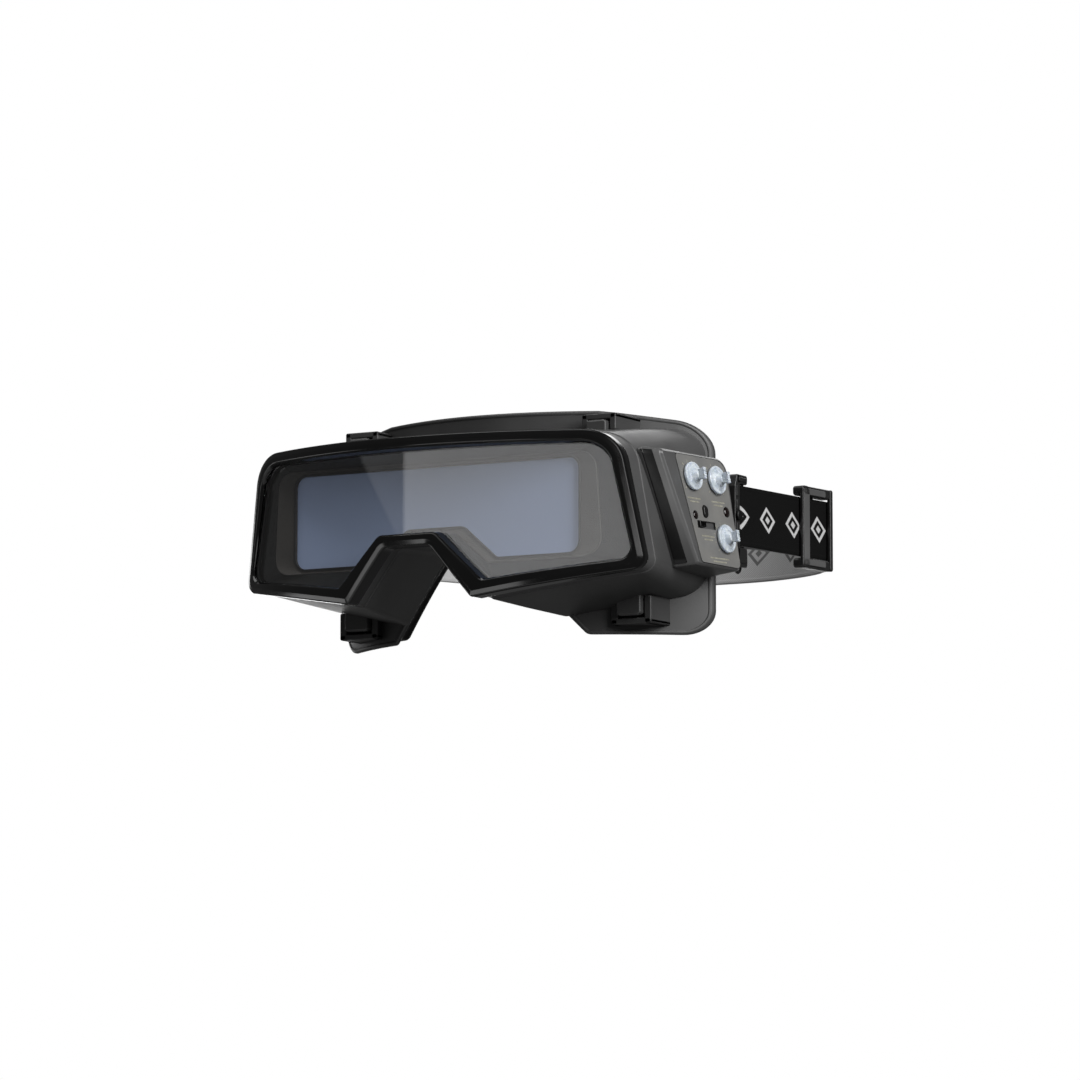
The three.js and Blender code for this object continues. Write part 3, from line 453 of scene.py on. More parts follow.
def knob_finish():
    """Milky clear plastic: pale blue with cloudy streaks and crisp gloss."""
    made = Finish("milky clear plastic", shade((205, 214, 222)), 0.18, Transmission_Weight=0.25,
                  Subsurface_Weight=0.25, Subsurface_Radius=(0.002, 0.002, 0.0025),
                  Subsurface_Scale=1.0, IOR=1.5)
    made.tones(shade((190, 201, 212)), shade((226, 233, 240)), 420, detail=4.0)
    made.sheen_drift(0.12, 0.3, 900, 2.0)
    made.bump(made.noise(700, 3), 0.08, 0.6)
    return made.material


def label_finish():
    """Printed panel film: warm grey, matt-gloss, with a brushed drift and speckle."""
    made = Finish("printed panel film", shade((104, 103, 99)), 0.35)
    made.tones(shade((108, 108, 107)), shade((119, 118, 115)), 90, detail=4.0)
    made.sheen_drift(0.28, 0.42, 300, 3.0)
    made.bump(made.noise(1800, 2), 0.02)
    return made.material


def print_finish():
    made = Finish("pale panel print", shade((168, 166, 150)), 0.5)
    made.tones(shade((150, 148, 130)), shade((182, 180, 166)), 700)
    made.bump(made.noise(3000, 2), 0.01)
    return made.material


def webbing_finish():
    """Elastic webbing from the strap's own lengths along and across: fine warp ribs crossed by weft
    picks, selvedges at both edges, a woven row of pale slanted lozenges outside and grey inside."""
    made = Finish("woven elastic webbing", shade(20), 0.85, Specular_IOR_Level=0.12)
    along, across, outside = made.attribute("along"), made.attribute("across"), made.attribute("outside")
    weft_pitch, warp_ribs, motif_pitch, motif_slant = 0.0011, 15, 0.021, 0.0022
    weft = made.sum("SINE", made.sum("MULTIPLY", along, 2 * math.pi / weft_pitch))
    warp = made.sum("SINE", made.sum("MULTIPLY", across, 2 * math.pi * warp_ribs))
    weave = made.sum("MULTIPLY", weft, warp)
    fuzz = made.noise(2400, 3)
    slanted = made.sum("ADD", along, made.sum("MULTIPLY", across, motif_slant))
    repeat = made.sum("MULTIPLY", made.sum("FRACT", made.sum("DIVIDE", slanted, motif_pitch)), 2.0)
    wide = made.sum("ABSOLUTE", made.sum("SUBTRACT", repeat, 1.0))
    tall = made.sum("ABSOLUTE", across)
    ringed = made.sum("ADD", made.sum("MULTIPLY", wide, 1.25), made.sum("MULTIPLY", tall, 1.6))
    lozenge = made.spread(made.sum("ABSOLUTE", made.sum("SUBTRACT", ringed, 0.62)), 0.1, 0.14, 1, 0)
    core = made.spread(ringed, 0.2, 0.25, 1, 0)
    motif = made.sum("MAXIMUM", lozenge, core)
    thread, lint = made.spread(weave, -1, 1, 0, 1), made.spread(fuzz, 0.3, 0.7, 0, 1)
    ground, figure = made.blend(thread, shade(5), shade(15)), made.blend(lint, shade(168), shade(206))
    face = made.blend(motif, ground, figure)
    back = made.blend(thread, shade(176), shade(204))
    back = made.blend(made.sum("MULTIPLY", motif, 0.75), back, shade(70))
    made.set(made.shader, "Base Color", made.blend(outside, back, face))
    made.set(made.shader, "Roughness", made.spread(fuzz, 0.3, 0.7, 0.75, 0.95))
    selvedge = made.spread(tall, 0.88, 0.93, 0, 0.8)
    nap = made.sum("ADD", made.sum("MULTIPLY", fuzz, 0.5), selvedge)
    height = made.sum("ADD", made.sum("MULTIPLY", weave, 0.5), nap)
    made.bump(height, 0.14, 0.9)
    return made.material


def metal_finish(name, colour, rough):
    made = Finish(name, colour, rough, 1.0)
    stretch = made.node("ShaderNodeMapping")
    made.set(stretch, "Vector", made.place)
    made.set(stretch, "Scale", (1, 30, 30))
    brushed = made.noise(300, 4, stretch.outputs["Vector"])
    made.set(made.shader, "Roughness", made.spread(brushed, 0.3, 0.7, rough, rough + 0.15))
    made.tones(colour, tuple(c * 0.8 for c in colour[:3]) + (1,), 200)
    made.bump(brushed, 0.01)
    return made.material


def board_finish():
    """Circuit board: green mask over faint copper runs."""
    made = Finish("circuit board mask", shade((28, 90, 52)), 0.35)
    runs = made.node("ShaderNodeTexBrick")
    made.set(runs, "Vector", made.place)
    made.set(runs, "Scale", 260.0)
    made.set(runs, "Color1", shade((26, 84, 48)))
    made.set(runs, "Color2", shade((34, 100, 58)))
    made.set(runs, "Mortar", shade((70, 120, 60)))
    made.set(made.shader, "Base Color", runs.outputs["Color"])
    made.bump(runs.outputs["Fac"], 0.03)
    return made.material


GLOSS = gloss_finish()
SHELL = moulded("satin housing nylon", 66, 74, 104, (0.36, 0.46), 0.012)
POD_GLOSS = moulded("glossy pod insert", 12, 18, 70, (0.26, 0.34), 0.008, Specular_IOR_Level=0.35)
POD = moulded("satin pod nylon", 70, 78, 104, (0.34, 0.44), 0.012)
BEZEL = moulded("matt bezel", (62, 59, 56), (72, 69, 65), 90, (0.45, 0.6), Specular_IOR_Level=0.2)
# painted shade: a much darker copy of the bezel plastic for its outer slope, standing in for the rim's
# shadow on it
BEZEL_PAINTED_SHADE = moulded("bezel slope painted shade", (14, 14, 13), (20, 19, 18), 40, (0.5, 0.65),
                     Specular_IOR_Level=0.15)
INNER = moulded("matt inner shell", 26, 33, 54, (0.6, 0.75), 0.03)
CARRIER = moulded("satin carrier rubber", 58, 67, 96, (0.36, 0.5), 0.008, 1800)
GASKET = moulded("gasket rubber", 14, 20, 36, (0.55, 0.7))
BUCKLE = moulded("buckle acetal", 22, 30, 74, (0.28, 0.4))
BUCKLE_FACE = moulded("buckle face", 74, 86, 120, (0.35, 0.5))
BUTTON = moulded("black button", 14, 20, 60, (0.25, 0.4))
FOAM = foam_finish()
COVER_GLASS = glass_finish("clear cover lens", (0.95, 0.955, 0.96))
INNER_GLASS = glass_finish("clear inner lens", (0.9, 0.92, 0.93))
FILTER = filter_finish()
KNOB = knob_finish()
LABEL_FILM = label_finish()
PRINT = print_finish()
WEBBING = webbing_finish()
STEEL = metal_finish("brushed steel", shade(196), 0.25)
STUD = metal_finish("blackened steel stud", shade(52), 0.4)
BOARD = board_finish()
LED_LENS = Finish("smoked light lens", shade((20, 12, 12)), 0.1)
LED_LENS.tones(shade((16, 10, 10)), shade((28, 16, 15)), 900)
LED_LENS.bump(LED_LENS.noise(900), 0.02)
FILM = moulded("amber cable film", (128, 60, 16), (150, 76, 22), (170, 100, 50), (0.15, 0.3))


# ---- front frame, lens, gasket ----

def front_frame():
    """A closed section carried round the rim: back, outer wall, small bevel, face, inner bevel, lens
    pocket. The face's outer facet leans back 0.9 over 2.4."""
    pocket = offset(LENS_EDGE, -GAP)
    fine = {"arc": 12, "edge": 20}
    rings = [
        ring(RIM_OUTER, frame_back, **fine),
        ring(RIM_OUTER, rim_front, 1.5, **fine),
        ring(offset(RIM_OUTER, 0.5), rim_front, 0.55, **fine),
        ring(offset(RIM_OUTER, 2.5), rim_front, 0.0, **fine),
        ring(offset(RIM_INNER, -1.3), rim_front, 0.15, **fine),
        ring(offset(RIM_INNER, -0.5), rim_front, 1.3, **fine),
        ring(RIM_INNER, lens_front, -GAP, **fine),
        ring(pocket, lens_front, -GAP, **fine),
        ring(pocket, frame_back, **fine),
    ]
    part = soft_loft(rings, [0.5, 0.35, 0.3, 0.35, 0.3, 0.3, 0.2, 0.2, 0.3])
    return piece("front_frame_shell", [part], GLOSS, "goggles", ["front_frame"])


def curved_sheet(corners, front, thick, columns=180, rows=36):
    """A sheet between two plan curves. Across, x follows a cosine from the outline's left end to its
    right; up, each column runs evenly from the outline's lower edge to its upper edge."""
    flat = trace(corners, 24, 60)
    flat = np.roll(flat, -int(flat[:, 0].argmax()), 0)
    left = int(flat[:, 0].argmin())
    lower, upper = flat[:left + 1][::-1], np.vstack([flat[left:], flat[:1]])
    x = lower[0, 0] + (lower[-1, 0] - lower[0, 0]) * (1 - np.cos(np.linspace(0, math.pi, columns))) / 2
    low, high = np.interp(x, lower[:, 0], lower[:, 1]), np.interp(x, upper[:, 0], upper[:, 1])
    share = np.linspace(0, 1, rows)[None]
    z = low[:, None] + (high - low)[:, None] * share
    xs = np.repeat(x[:, None], rows, 1)
    face = np.stack([xs, front(xs), z], -1)
    back = np.stack([xs, front(xs) + thick, z], -1)
    section = np.concatenate([face, back[:, ::-1]], 1)
    points, faces, wear = loft(section)
    return points, [f for f in faces if len(f) == 4], wear


def cover_lens():
    sheet = curved_sheet(LENS_EDGE, lens_front, LENS_THICK)
    lens = piece("cover_lens_sheet", [sheet], COVER_GLASS, "goggles", ["cover_lens"])
    return weld(lens)


def lens_gasket():
    inner, front = offset(RIM_INNER, -0.2), LENS_THICK + GAP
    rings = [
        ring(LENS_EDGE, lens_front, front), ring(LENS_EDGE, frame_back),
        ring(inner, frame_back), ring(inner, lens_front, front),
    ]
    return piece("lens_gasket_ring", [soft_loft(rings, 0.3)], GASKET, "goggles", ["lens_gasket"])


# ---- housing and its latches ----

# The loop's box on the carrier, then the tongue's half width and its span up the housing.
TOP_LATCH = {
    "x": 61, "front": -10.6, "low": 36, "high": 43.7, "half": 8.5, "tongue": 4.9, "span": (34, 40.4),
}
BOTTOM_LATCH = {
    "x": 70, "front": 2, "low": -48.3, "high": -36, "half": 10, "tongue": 6, "span": (-44.4, -34),
}
LATCH_BAR = 2.6


def tongue_parts():
    """Each tongue: a rounded block on the housing with two grip ribs across its tip."""
    parts = []
    for side in (-1, 1):
        for latch in (TOP_LATCH, BOTTOM_LATCH):
            x, half = side * latch["x"], latch["tongue"]
            front, (low, high) = latch["front"] - LATCH_BAR, latch["span"]
            rear = float(carrier_front(latch["x"] - half)) - 2 * GAP
            parts.append(pillow(oblong(x - half, x + half, low, high, 1.2), front, rear, 0.7, "y"))
            for step in (0.8, 2.6):
                rib_low, rib_high = (high - 0.9, high + 0.25) if high > 0 else (low - 0.25, low + 0.9)
                parts.append(pillow(oblong(x - half + 1, x + half - 1, rib_low, rib_high, 0.5),
                                    front + step - 0.35, front + step + 0.35, 0.3, "y"))
    return parts


def housing_shell():
    """The housing's wall from the front frame back to the carrier, with a low step behind the frame."""
    step, wall_thick = 0.14, 2.6

    def band(share, out, shift=0.0):
        corners = offset(HOUSING_FRONT + (HOUSING_REAR - HOUSING_FRONT) * share, -out)
        flat = trace(corners, arc=10, edge=24)
        x, z = flat[:, 0], flat[:, 1]
        y = housing_front(x) * (1 - share) + (carrier_front(x) - GAP) * share + shift
        return np.stack([x, y, z], 1)

    rings = [
        band(0, -0.4), band(0, -0.05, 0.4), band(step, -0.05), band(step, 0.35, 0.5), band(0.55, 0.15),
        band(1, -0.35), band(1, -wall_thick), band(0, -wall_thick),
    ]
    wall = soft_loft(rings, [0.3, 0.3, 0.3, 0.4, 2.0, 0.5, 0.4, 0.4])
    return piece("housing_body", [wall, *tongue_parts()], SHELL, "goggles", ["housing_shell"])


# ---- optics ----

WINDOW_FRONT, LIP_FRONT, LIP_REAR = -47.4, -47.6, -46.3
FILTER_FRONT, FILTER_THICK = -46, 2.5
INNER_LENS_FRONT, INNER_LENS_REAR = -37.2, -36.0
SENSOR_X, SENSOR_FRONT, SENSOR_Z = 81, -46.7, 18.2


def filter_bezel():
    """The bezel's inner slope, from its ridge down to a flat lip round the filter window, and its outer
    slope, from the frame's edge to the ridge, coloured darker than the inner slope as painted shade."""
    edge, lip, ridge_thick = offset(RIM_INNER, 0.2), offset(WINDOW, -1.8), 1.6
    meeting = offset(BEZEL_RIDGE, -0.1)
    inner = [
        ring(BEZEL_RIDGE, ridge_y), ring(lip, LIP_FRONT), ring(WINDOW, WINDOW_FRONT),
        ring(WINDOW, LIP_REAR), ring(lip, LIP_REAR), ring(BEZEL_RIDGE, ridge_y, ridge_thick),
    ]
    outer = [
        ring(edge, housing_front, 0.1), ring(meeting, ridge_y), ring(meeting, ridge_y, ridge_thick),
        ring(edge, housing_front, 2.6),
    ]
    slope = soft_loft(outer, [0.3, 0.5, 0.4, 0.4])
    surround = soft_loft(inner, [0.5, 0.4, 0.15, 0.15, 0.3, 0.4])
    # the outer slope's darker colour is painted shade; it is the same bezel plastic as the inner slope
    piece("bezel_outer_slope", [slope], BEZEL_PAINTED_SHADE, "goggles", ())
    return piece("filter_bezel_surround", [surround], BEZEL, "goggles", ["filter_bezel"])


def window_rim():
    """A narrow black lip standing round the window opening."""
    outer, front, rear = offset(WINDOW, -0.9), -47.9, -47.0
    rings = [ring(outer, front), ring(WINDOW, front), ring(WINDOW, rear), ring(outer, rear)]
    return piece("window_rim", [soft_loft(rings, 0.15)], GASKET, "goggles", ())


def filter_plates():
    """The filter and the inner lens as plates with ground edges."""
    coated = pillow(offset(WINDOW, -1.5), FILTER_FRONT, FILTER_FRONT + FILTER_THICK, 0.3, "y", 10)
    clear = pillow(offset(WINDOW, -1.8), INNER_LENS_FRONT, INNER_LENS_REAR, 0.2, "y", 10)
    plate = piece("darkening_filter_plate", [coated], FILTER, "goggles", ["darkening_filter"])
    piece("inner_lens_plate", [clear], INNER_GLASS, "goggles", ["inner_cover_lens"])
    return plate


def inner_frame():
    """The wearer's side of the optics: a funnel from the inner lens out to the face opening."""
    mouth, lip, seat = offset(HOUSING_REAR, 5.2), -38.7, -37.5
    rings = [
        ring(offset(WINDOW, 0.5), lip), ring(offset(WINDOW, 0.5), seat), ring(offset(WINDOW, -2.2), seat),
        ring(offset(WINDOW, -2.6), seat + 2), ring(mouth, carrier_front, -1.5),
        ring(offset(mouth, -1.7), carrier_front, -1.5), ring(offset(WINDOW, -3.6), seat + 1),
        ring(offset(WINDOW, -3.5), lip),
    ]
    part = soft_loft(rings, [0.2, 0.2, 0.2, 0.8, 0.5, 0.5, 0.8, 0.3])
    return piece("inner_funnel", [part], INNER, "goggles", ["inner_frame"])


def arc_sensors():
    """Each sensor: a black barrel with a domed smoked tip."""
    dome = [[0.01, 0.45], [1.1, 0.3], [1.9, 0.0], [2.5, -0.2], [2.5, -4.6], [0.01, -4.6]]
    forwards = [[1, 0, 0], [0, 0, -1], [0, 1, 0]]
    for name, side in (("left", 1), ("right", -1)):
        part = moved(lathe(dome, 40, 0.3), forwards, [side * SENSOR_X, SENSOR_FRONT, SENSOR_Z])
        piece(f"arc_sensor_{name}_barrel", [part], GLOSS, "goggles", [f"arc_sensor_{name}"])


# ---- seal carrier and face seal ----

def loop_parts():
    """Each loop that holds a tongue: two rounded posts and a cross bar."""
    parts = []
    for side in (-1, 1):
        for latch, bar in ((TOP_LATCH, 1), (BOTTOM_LATCH, -1)):
            x, half, hole = side * latch["x"], latch["half"], latch["tongue"] + 2 * GAP
            rear = float(carrier_front(latch["x"] + half)) + 1
            low, high, front = latch["low"], latch["high"], latch["front"]
            ends = (high - LATCH_BAR, high) if bar > 0 else (low, low + LATCH_BAR)
            blocks = [oblong(x + post * hole, x + post * half, low, high, 0.9) for post in (-1, 1)]
            blocks.append(oblong(x - half, x + half, *ends, 0.9))
            parts += [pillow(block, front, rear, 0.6, "y") for block in blocks]
    return parts


def seal_carrier():
    """The flange: a section of face, rolled edge bead and back, carried round the carrier's outline, with
    the loops and the ear that each strap anchor turns on."""
    opening = offset(HOUSING_REAR, 5)

    def around(corners, shift=0.0, sag=True):
        return ring(corners, carrier_front, shift, sag, arc=12, edge=22)

    rings = [
        around(CARRIER_EDGE, 0.5),
        around(offset(CARRIER_EDGE, 0.7), -0.15),
        around(offset(CARRIER_EDGE, 1.5), -0.15),
        around(offset(CARRIER_EDGE, 1.9), 0.2),
        around(opening, sag=False),
        around(opening, 3, sag=False),
        around(offset(CARRIER_EDGE, 1), 3),
        around(CARRIER_EDGE, 2.5),
    ]
    parts = [soft_loft(rings, [0.5, 0.3, 0.3, 0.2, 0.3, 0.3, 0.5, 0.5]), *loop_parts()]
    for side in (-1, 1):
        parts.append(pillow(oblong(31, 41, -9, 11, 2), 94.7, 97.4, 0.6, "x", side=side))
        parts.append(pillow(oblong(31.05, 32.9, -8.5, 10.5, 0.8), 92.5, 97, 0.3, "x", side=side))
    return piece("carrier_flange", parts, CARRIER, "goggles", ["seal_carrier"])


def face_seal():
    """The foam cushion: a crowned section, high in the middle of its rear face, round the face opening."""
    outer = offset(CARRIER_EDGE, 1.8)
    foot, lower, shoulder, top, crown = 3.4, 6.4, 8.8, 11.4, 0.7

    def around(corners, shift, sag=True):
        return ring(corners, carrier_front, shift, sag, arc=8, edge=20)

    outside, inside = around(offset(SEAL_EDGE, 1), top), around(offset(SEAL_OPENING, -3), top, sag=False)
    middle = (outside + inside) / 2
    middle[:, 1] += crown
    rings = [
        around(outer, foot),
        around((outer + SEAL_EDGE) / 2, lower),
        around(offset(SEAL_EDGE, -1.5), shoulder),
        outside,
        middle,
        inside,
        around(SEAL_OPENING, shoulder, sag=False),
        around(offset(SEAL_OPENING, 0.3), 6.0, sag=False),
        around(SEAL_OPENING, foot, sag=False),
    ]
    part = soft_loft(rings, [0.4, 1.5, 2.2, 3.0, 6.0, 3.0, 2.2, 1.5, 0.4])
    seal = piece("face_seal_cushion", [part], FOAM, "goggles", ["face_seal"])
    swell(seal, 0.0038)
    return seal


SWELL_STEPS, SWELL_LIMIT = 12, 1.6


def swell(pad, front_band):
    """Cloth under light air pressure fills the foam out between its glued front edges. No point may
    move further than the swell's limit, and the result is kept as the mesh."""
    mesh = pad.data
    rest = np.zeros(len(mesh.vertices) * 3, np.float32)
    mesh.vertices.foreach_get("co", rest)
    rest = rest.reshape(-1, 3)
    depth = rest[:, 1] - carrier_front(rest[:, 0] / MM) * MM
    glued = pad.vertex_groups.new(name="glued")
    glued.add(np.nonzero(depth < front_band)[0].tolist(), 1.0, "REPLACE")
    cloth = pad.modifiers.new("cloth", "CLOTH")
    cloth.settings.quality = 5
    cloth.settings.mass = 0.2
    cloth.settings.vertex_group_mass = "glued"
    cloth.settings.use_pressure = True
    cloth.settings.uniform_pressure_force = 3.0
    cloth.settings.effector_weights.gravity = 0.0
    cloth.settings.tension_stiffness = 30
    cloth.settings.compression_stiffness = 30
    cloth.settings.bending_stiffness = 2
    cloth.collision_settings.use_collision = False
    cloth.point_cache.frame_start = 1
    cloth.point_cache.frame_end = SWELL_STEPS
    for number in range(1, SWELL_STEPS + 1):
        bpy.context.scene.frame_set(number)
    shaped = pad.evaluated_get(bpy.context.evaluated_depsgraph_get()).to_mesh()
    after = np.zeros(len(shaped.vertices) * 3, np.float32)
    shaped.vertices.foreach_get("co", after)
    pad.to_mesh_clear()
    shift = after.reshape(-1, 3) - rest
    length = np.linalg.norm(shift, axis=1, keepdims=True)
    shift *= np.minimum(1.0, SWELL_LIMIT * MM / np.maximum(length, 1e-9))
    pad.modifiers.remove(cloth)
    mesh.vertices.foreach_set("co", (rest + shift).astype(np.float32).ravel())
    mesh.update()
    bpy.context.scene.frame_set(1)


# ---- pods: panel axes are along, up and out ----

PANEL_X, PANEL_Y = 105, 9
SLOPE_Y, SLOPE_Z = 0.1, -0.15
BEVEL = 1.1


def panel_x(y, z):
    """The panel's plane: its middle's X, plus a slope times how far back and another times how high."""
    return PANEL_X + SLOPE_Y * (y - PANEL_Y) + SLOPE_Z * z


def panel_axes(side):
    """Columns along the panel, up it and out of it."""
    out = unit(np.array([side, -SLOPE_Y, -SLOPE_Z], float))
    along = unit(np.array([0, side, 0.0]) - out * (side * out[1]))
    return np.stack([along, np.cross(out, along), out], 1)


def on_panel(side, place):
    """A place [y, z] on the goggles, in the panel's own along and up."""
    y, z = place
    world = np.array([side * panel_x(y, z), y, z]) - np.array([side * PANEL_X, PANEL_Y, 0])
    return (world @ panel_axes(side))[:2]


def on_side(part, side, place):
    """A part built flat, Z up, set on a panel at a place [y, z]."""
    axes = panel_axes(side)
    where = on_panel(side, place)
    origin = np.array([side * PANEL_X, PANEL_Y, 0]) + axes[:, 0] * where[0] + axes[:, 1] * where[1]
    return moved(part, axes, origin)


def pod_base_x(y, z):
    """Where the pod meets the housing's side: between a line along its top and another along its
    bottom, by how far down the place is."""
    back = np.clip((y + 32.5) / 63, 0, 1)
    down = np.clip((24.5 - z) / 50, 0, 1)
    top_x, bottom_x = 93.5 + back, 99.5 - 4 * back
    return top_x + (bottom_x - top_x) * down


def pod_body(side, recess):
    """A pod's form: base on the housing's side, sloping walls, a narrow bevel and the panel. With a
    recess, the label's outline is sunk into the panel."""
    fine = {"arc": 8, "edge": 10}

    def panel_ring(corners, down):
        flat = trace(corners, **fine)
        return np.stack([side * (panel_x(flat[:, 0], flat[:, 1]) - down), flat[:, 0], flat[:, 1]], 1)

    flat = trace(POD_BASE, **fine)
    base = np.stack([side * pod_base_x(flat[:, 0], flat[:, 1]), flat[:, 0], flat[:, 1]], 1)
    root = base - np.array([side * 1.6, 0, 0])
    rings = [root, base, panel_ring(POD_TOP, BEVEL), panel_ring(offset(POD_TOP, BEVEL), 0)]
    radii = [0.1, 0.3, 0.5, 0.5]
    if recess:
        rings += [panel_ring(offset(LABEL, -0.3), 0), panel_ring(offset(LABEL, -0.3), 0.9)]
        radii += [0.15, 0.1]
    return soft_loft(rings, radii, closed=False)


KNOBS = {"shade": (-1.2, 14.2), "sensitivity": (17.2, 14.2), "delay": (18.3, -11.7)}


def knob_parts():
    """A knob: a dished disc, a cone up its middle and a fin whose sides widen to saw-toothed tips."""
    disc = lathe([[0.01, 0.6], [6.0, 0.6], [6.3, 0.9], [6.3, 1.9], [5.9, 2.2], [4.9, 2.0], [3.4, 2.6],
                  [1.9, 4.8], [0.01, 5.0]], 72, 0.25)
    shaft = lathe([[0.01, -4.4], [1.5, -4.4], [1.5, 1.6], [0.01, 1.6]], 24, 0.1)
    tooth = [[-2.6, 1.2], [-1.6, 4.0], [-2.3, 4.9], [-2.0, 5.4], [-2.6, 6.0], [-2.3, 6.5],
             [-2.8, 7.2], [-2.4, 7.9], [-1.5, 7.7], [-1.1, 8.1], [-0.5, 7.5], [0, 7.8]]
    outline = np.array(tooth + [[-u, v] for u, v in tooth[-2::-1]], float)
    corners = np.column_stack([outline, np.full(len(outline), 0.1)])
    fin = pillow(corners, -1.0, 1.0, 0.3, "y", arc=3)
    quarter = [[0, -1, 0], [1, 0, 0], [0, 0, 1]]
    return [disc, shaft, moved(fin, quarter)]


def knobs():
    for name, place in KNOBS.items():
        piece(f"{name}_knob_grip", [on_side(p, 1, place) for p in knob_parts()], KNOB, f"{name}_knob",
              [f"{name}_knob"])


def dial_marks():
    """Printed ticks round each knob, ten on an arc of 270 degrees, and pairs of short lines, the lower
    one shorter, beside the controls."""
    parts = []
    for place in KNOBS.values():
        for step in range(10):
            angle = math.radians(-135 + 30 * step)
            long = 8.0 if step % 3 == 0 else 7.6
            tick = pillow(oblong(-0.14, 0.14, 6.9, long, 0.1), 0.16, 0.22, 0.02, "z", 2, 1)
            parts.append(on_side(moved(tick, turned(angle)), 1, place))
    for place, half in (((-1.2, 4.6), 5.2), ((17.2, 4.6), 5.2), ((12.5, -20.8), 7.5), ((5.8, -11.6), 5.0)):
        for row, share in ((0, 1.0), (-1.5, 0.7)):
            corners = oblong(-half * share, half * share, row - 0.28, row + 0.28, 0.2)
            line = pillow(corners, 0.16, 0.2, 0.02, "z", 2, 1)
            parts.append(on_side(line, 1, place))
    return piece("panel_print", parts, PRINT, "goggles", (), smooth=False)


def pod_insert(side):
    """A glossy plate along the lower part of the pod's front wall. Its edges run at two shares of the way
    from the base's front edge to the panel's, and it stands a little off the wall."""
    first, last, steps = 0.03, 0.98, 24
    low_share, high_share = 0.02, 0.62

    def front_edge(corners, share):
        return corners[3, :2] + (corners[0, :2] - corners[3, :2]) * share

    def wall_point(share, towards_panel):
        y, z = front_edge(POD_BASE, share)
        base = np.array([pod_base_x(y, z), y, z])
        y, z = front_edge(POD_TOP, share)
        return base + (np.array([panel_x(y, z) - BEVEL, y, z]) - base) * towards_panel

    ups = np.linspace(first, last, steps)
    low_edge = np.array([wall_point(u, low_share) for u in ups])
    high_edge = np.array([wall_point(u, high_share) for u in ups])
    run = np.gradient(low_edge, axis=0)
    out = unit(np.cross(run, high_edge - low_edge))
    out *= np.sign(out[:, :1])
    rim = (high_edge - low_edge) * 0.06
    sunk, shoulder, raised = out * 0.5, out * 0.25, out * 0.6
    section = [low_edge - sunk, low_edge + shoulder, low_edge + rim + raised, high_edge - rim + raised,
               high_edge + shoulder, high_edge - sunk]
    return loft(np.stack(section, 1) * [side, 1, 1])


def pods():
    piece("control_pod_insert", [pod_insert(1)], POD_GLOSS, "goggles", ())
    piece("battery_pod_insert", [pod_insert(-1)], POD_GLOSS, "goggles", ())
    piece("control_pod_body", [pod_body(1, True)], POD, "goggles", ["control_pod"])
    piece("battery_pod_body", [pod_body(-1, False)], POD, "goggles", ["battery_pod"])
    lid = lathe([[0.01, 0.3], [15.0, 0.3], [15.25, 0.5], [15.25, 1.4], [14.7, 1.8], [13.4, 1.8], [13.0, 1.6],
                 [0.01, 1.6]], 96, 0.25)
    bar = pillow(oblong(-10.5, 10.5, -1.7, 1.7, 1.66), 1.4, 3.6, 0.6, "z", 10)
    piece("battery_lid", [on_side(p, -1, (8, 0)) for p in (lid, bar)], POD, "battery_door",
          ["battery_door"])


def small_controls():
    """The test button and the mode slider, with rounded rims and three ribs on the slider."""
    cap = pillow(oblong(-1.6, 1.6, -2.6, 2.6, 1.56), -2.2, 0.9, 0.4, "z", 8)
    flange = pillow(oblong(-2.4, 2.4, -3.4, 3.4, 2.3), -2.7, -2.2, 0.1, "z", 8)
    piece("test_button_cap", [on_side(p, 1, (6, -0.6)) for p in (cap, flange)], BUTTON, "test_button",
          ["test_button"])
    tab = pillow(oblong(-6.2, -1.8, -1.3, 1.3, 0.4), -1.9, 1.1, 0.25, "z")
    ribs = [pillow(oblong(-4 + along - 0.2, -4 + along + 0.2, -1.2, 1.2, 0.15), 0.9, 1.6, 0.12, "z")
            for along in (-1.2, 0, 1.2)]
    piece("mode_slider_tab", [on_side(p, 1, (5.8, -6.6)) for p in (tab, *ribs)], BUTTON, "mode_switch",
          ["mode_switch"])


# ---- strap, anchors and slider ----

STRAP_Z, STRAP_WIDTH, STRAP_THICK = 1.2, 27.0, 1.6
BAR = (101.5, 43.2, 2.7)
SLIDER_AT = (110.5, 112.0)
SLIDER_CENTRE = 99.5
LEFT_FOLD = [[104.4, 68], [103.8, 61], [103, 55.5], [100.4, 50.5], [99, 47]]
RIGHT_FOLD = [[-99, 47], [-99.7, 51], [-99.9, 54], [-98.2, 59], [-95.2, 65]]
HEAD_PATH = [
    [110.3, 111], [110.3, 114.5], [106, 122], [99, 134], [85, 155], [55, 171], [22, 174.5], [-20, 172],
    [-50, 157], [-72, 127], [-86, 92], [-97, 66], [-102.6, 54], [-104.1, 48], [-104.2, 43.2],
]


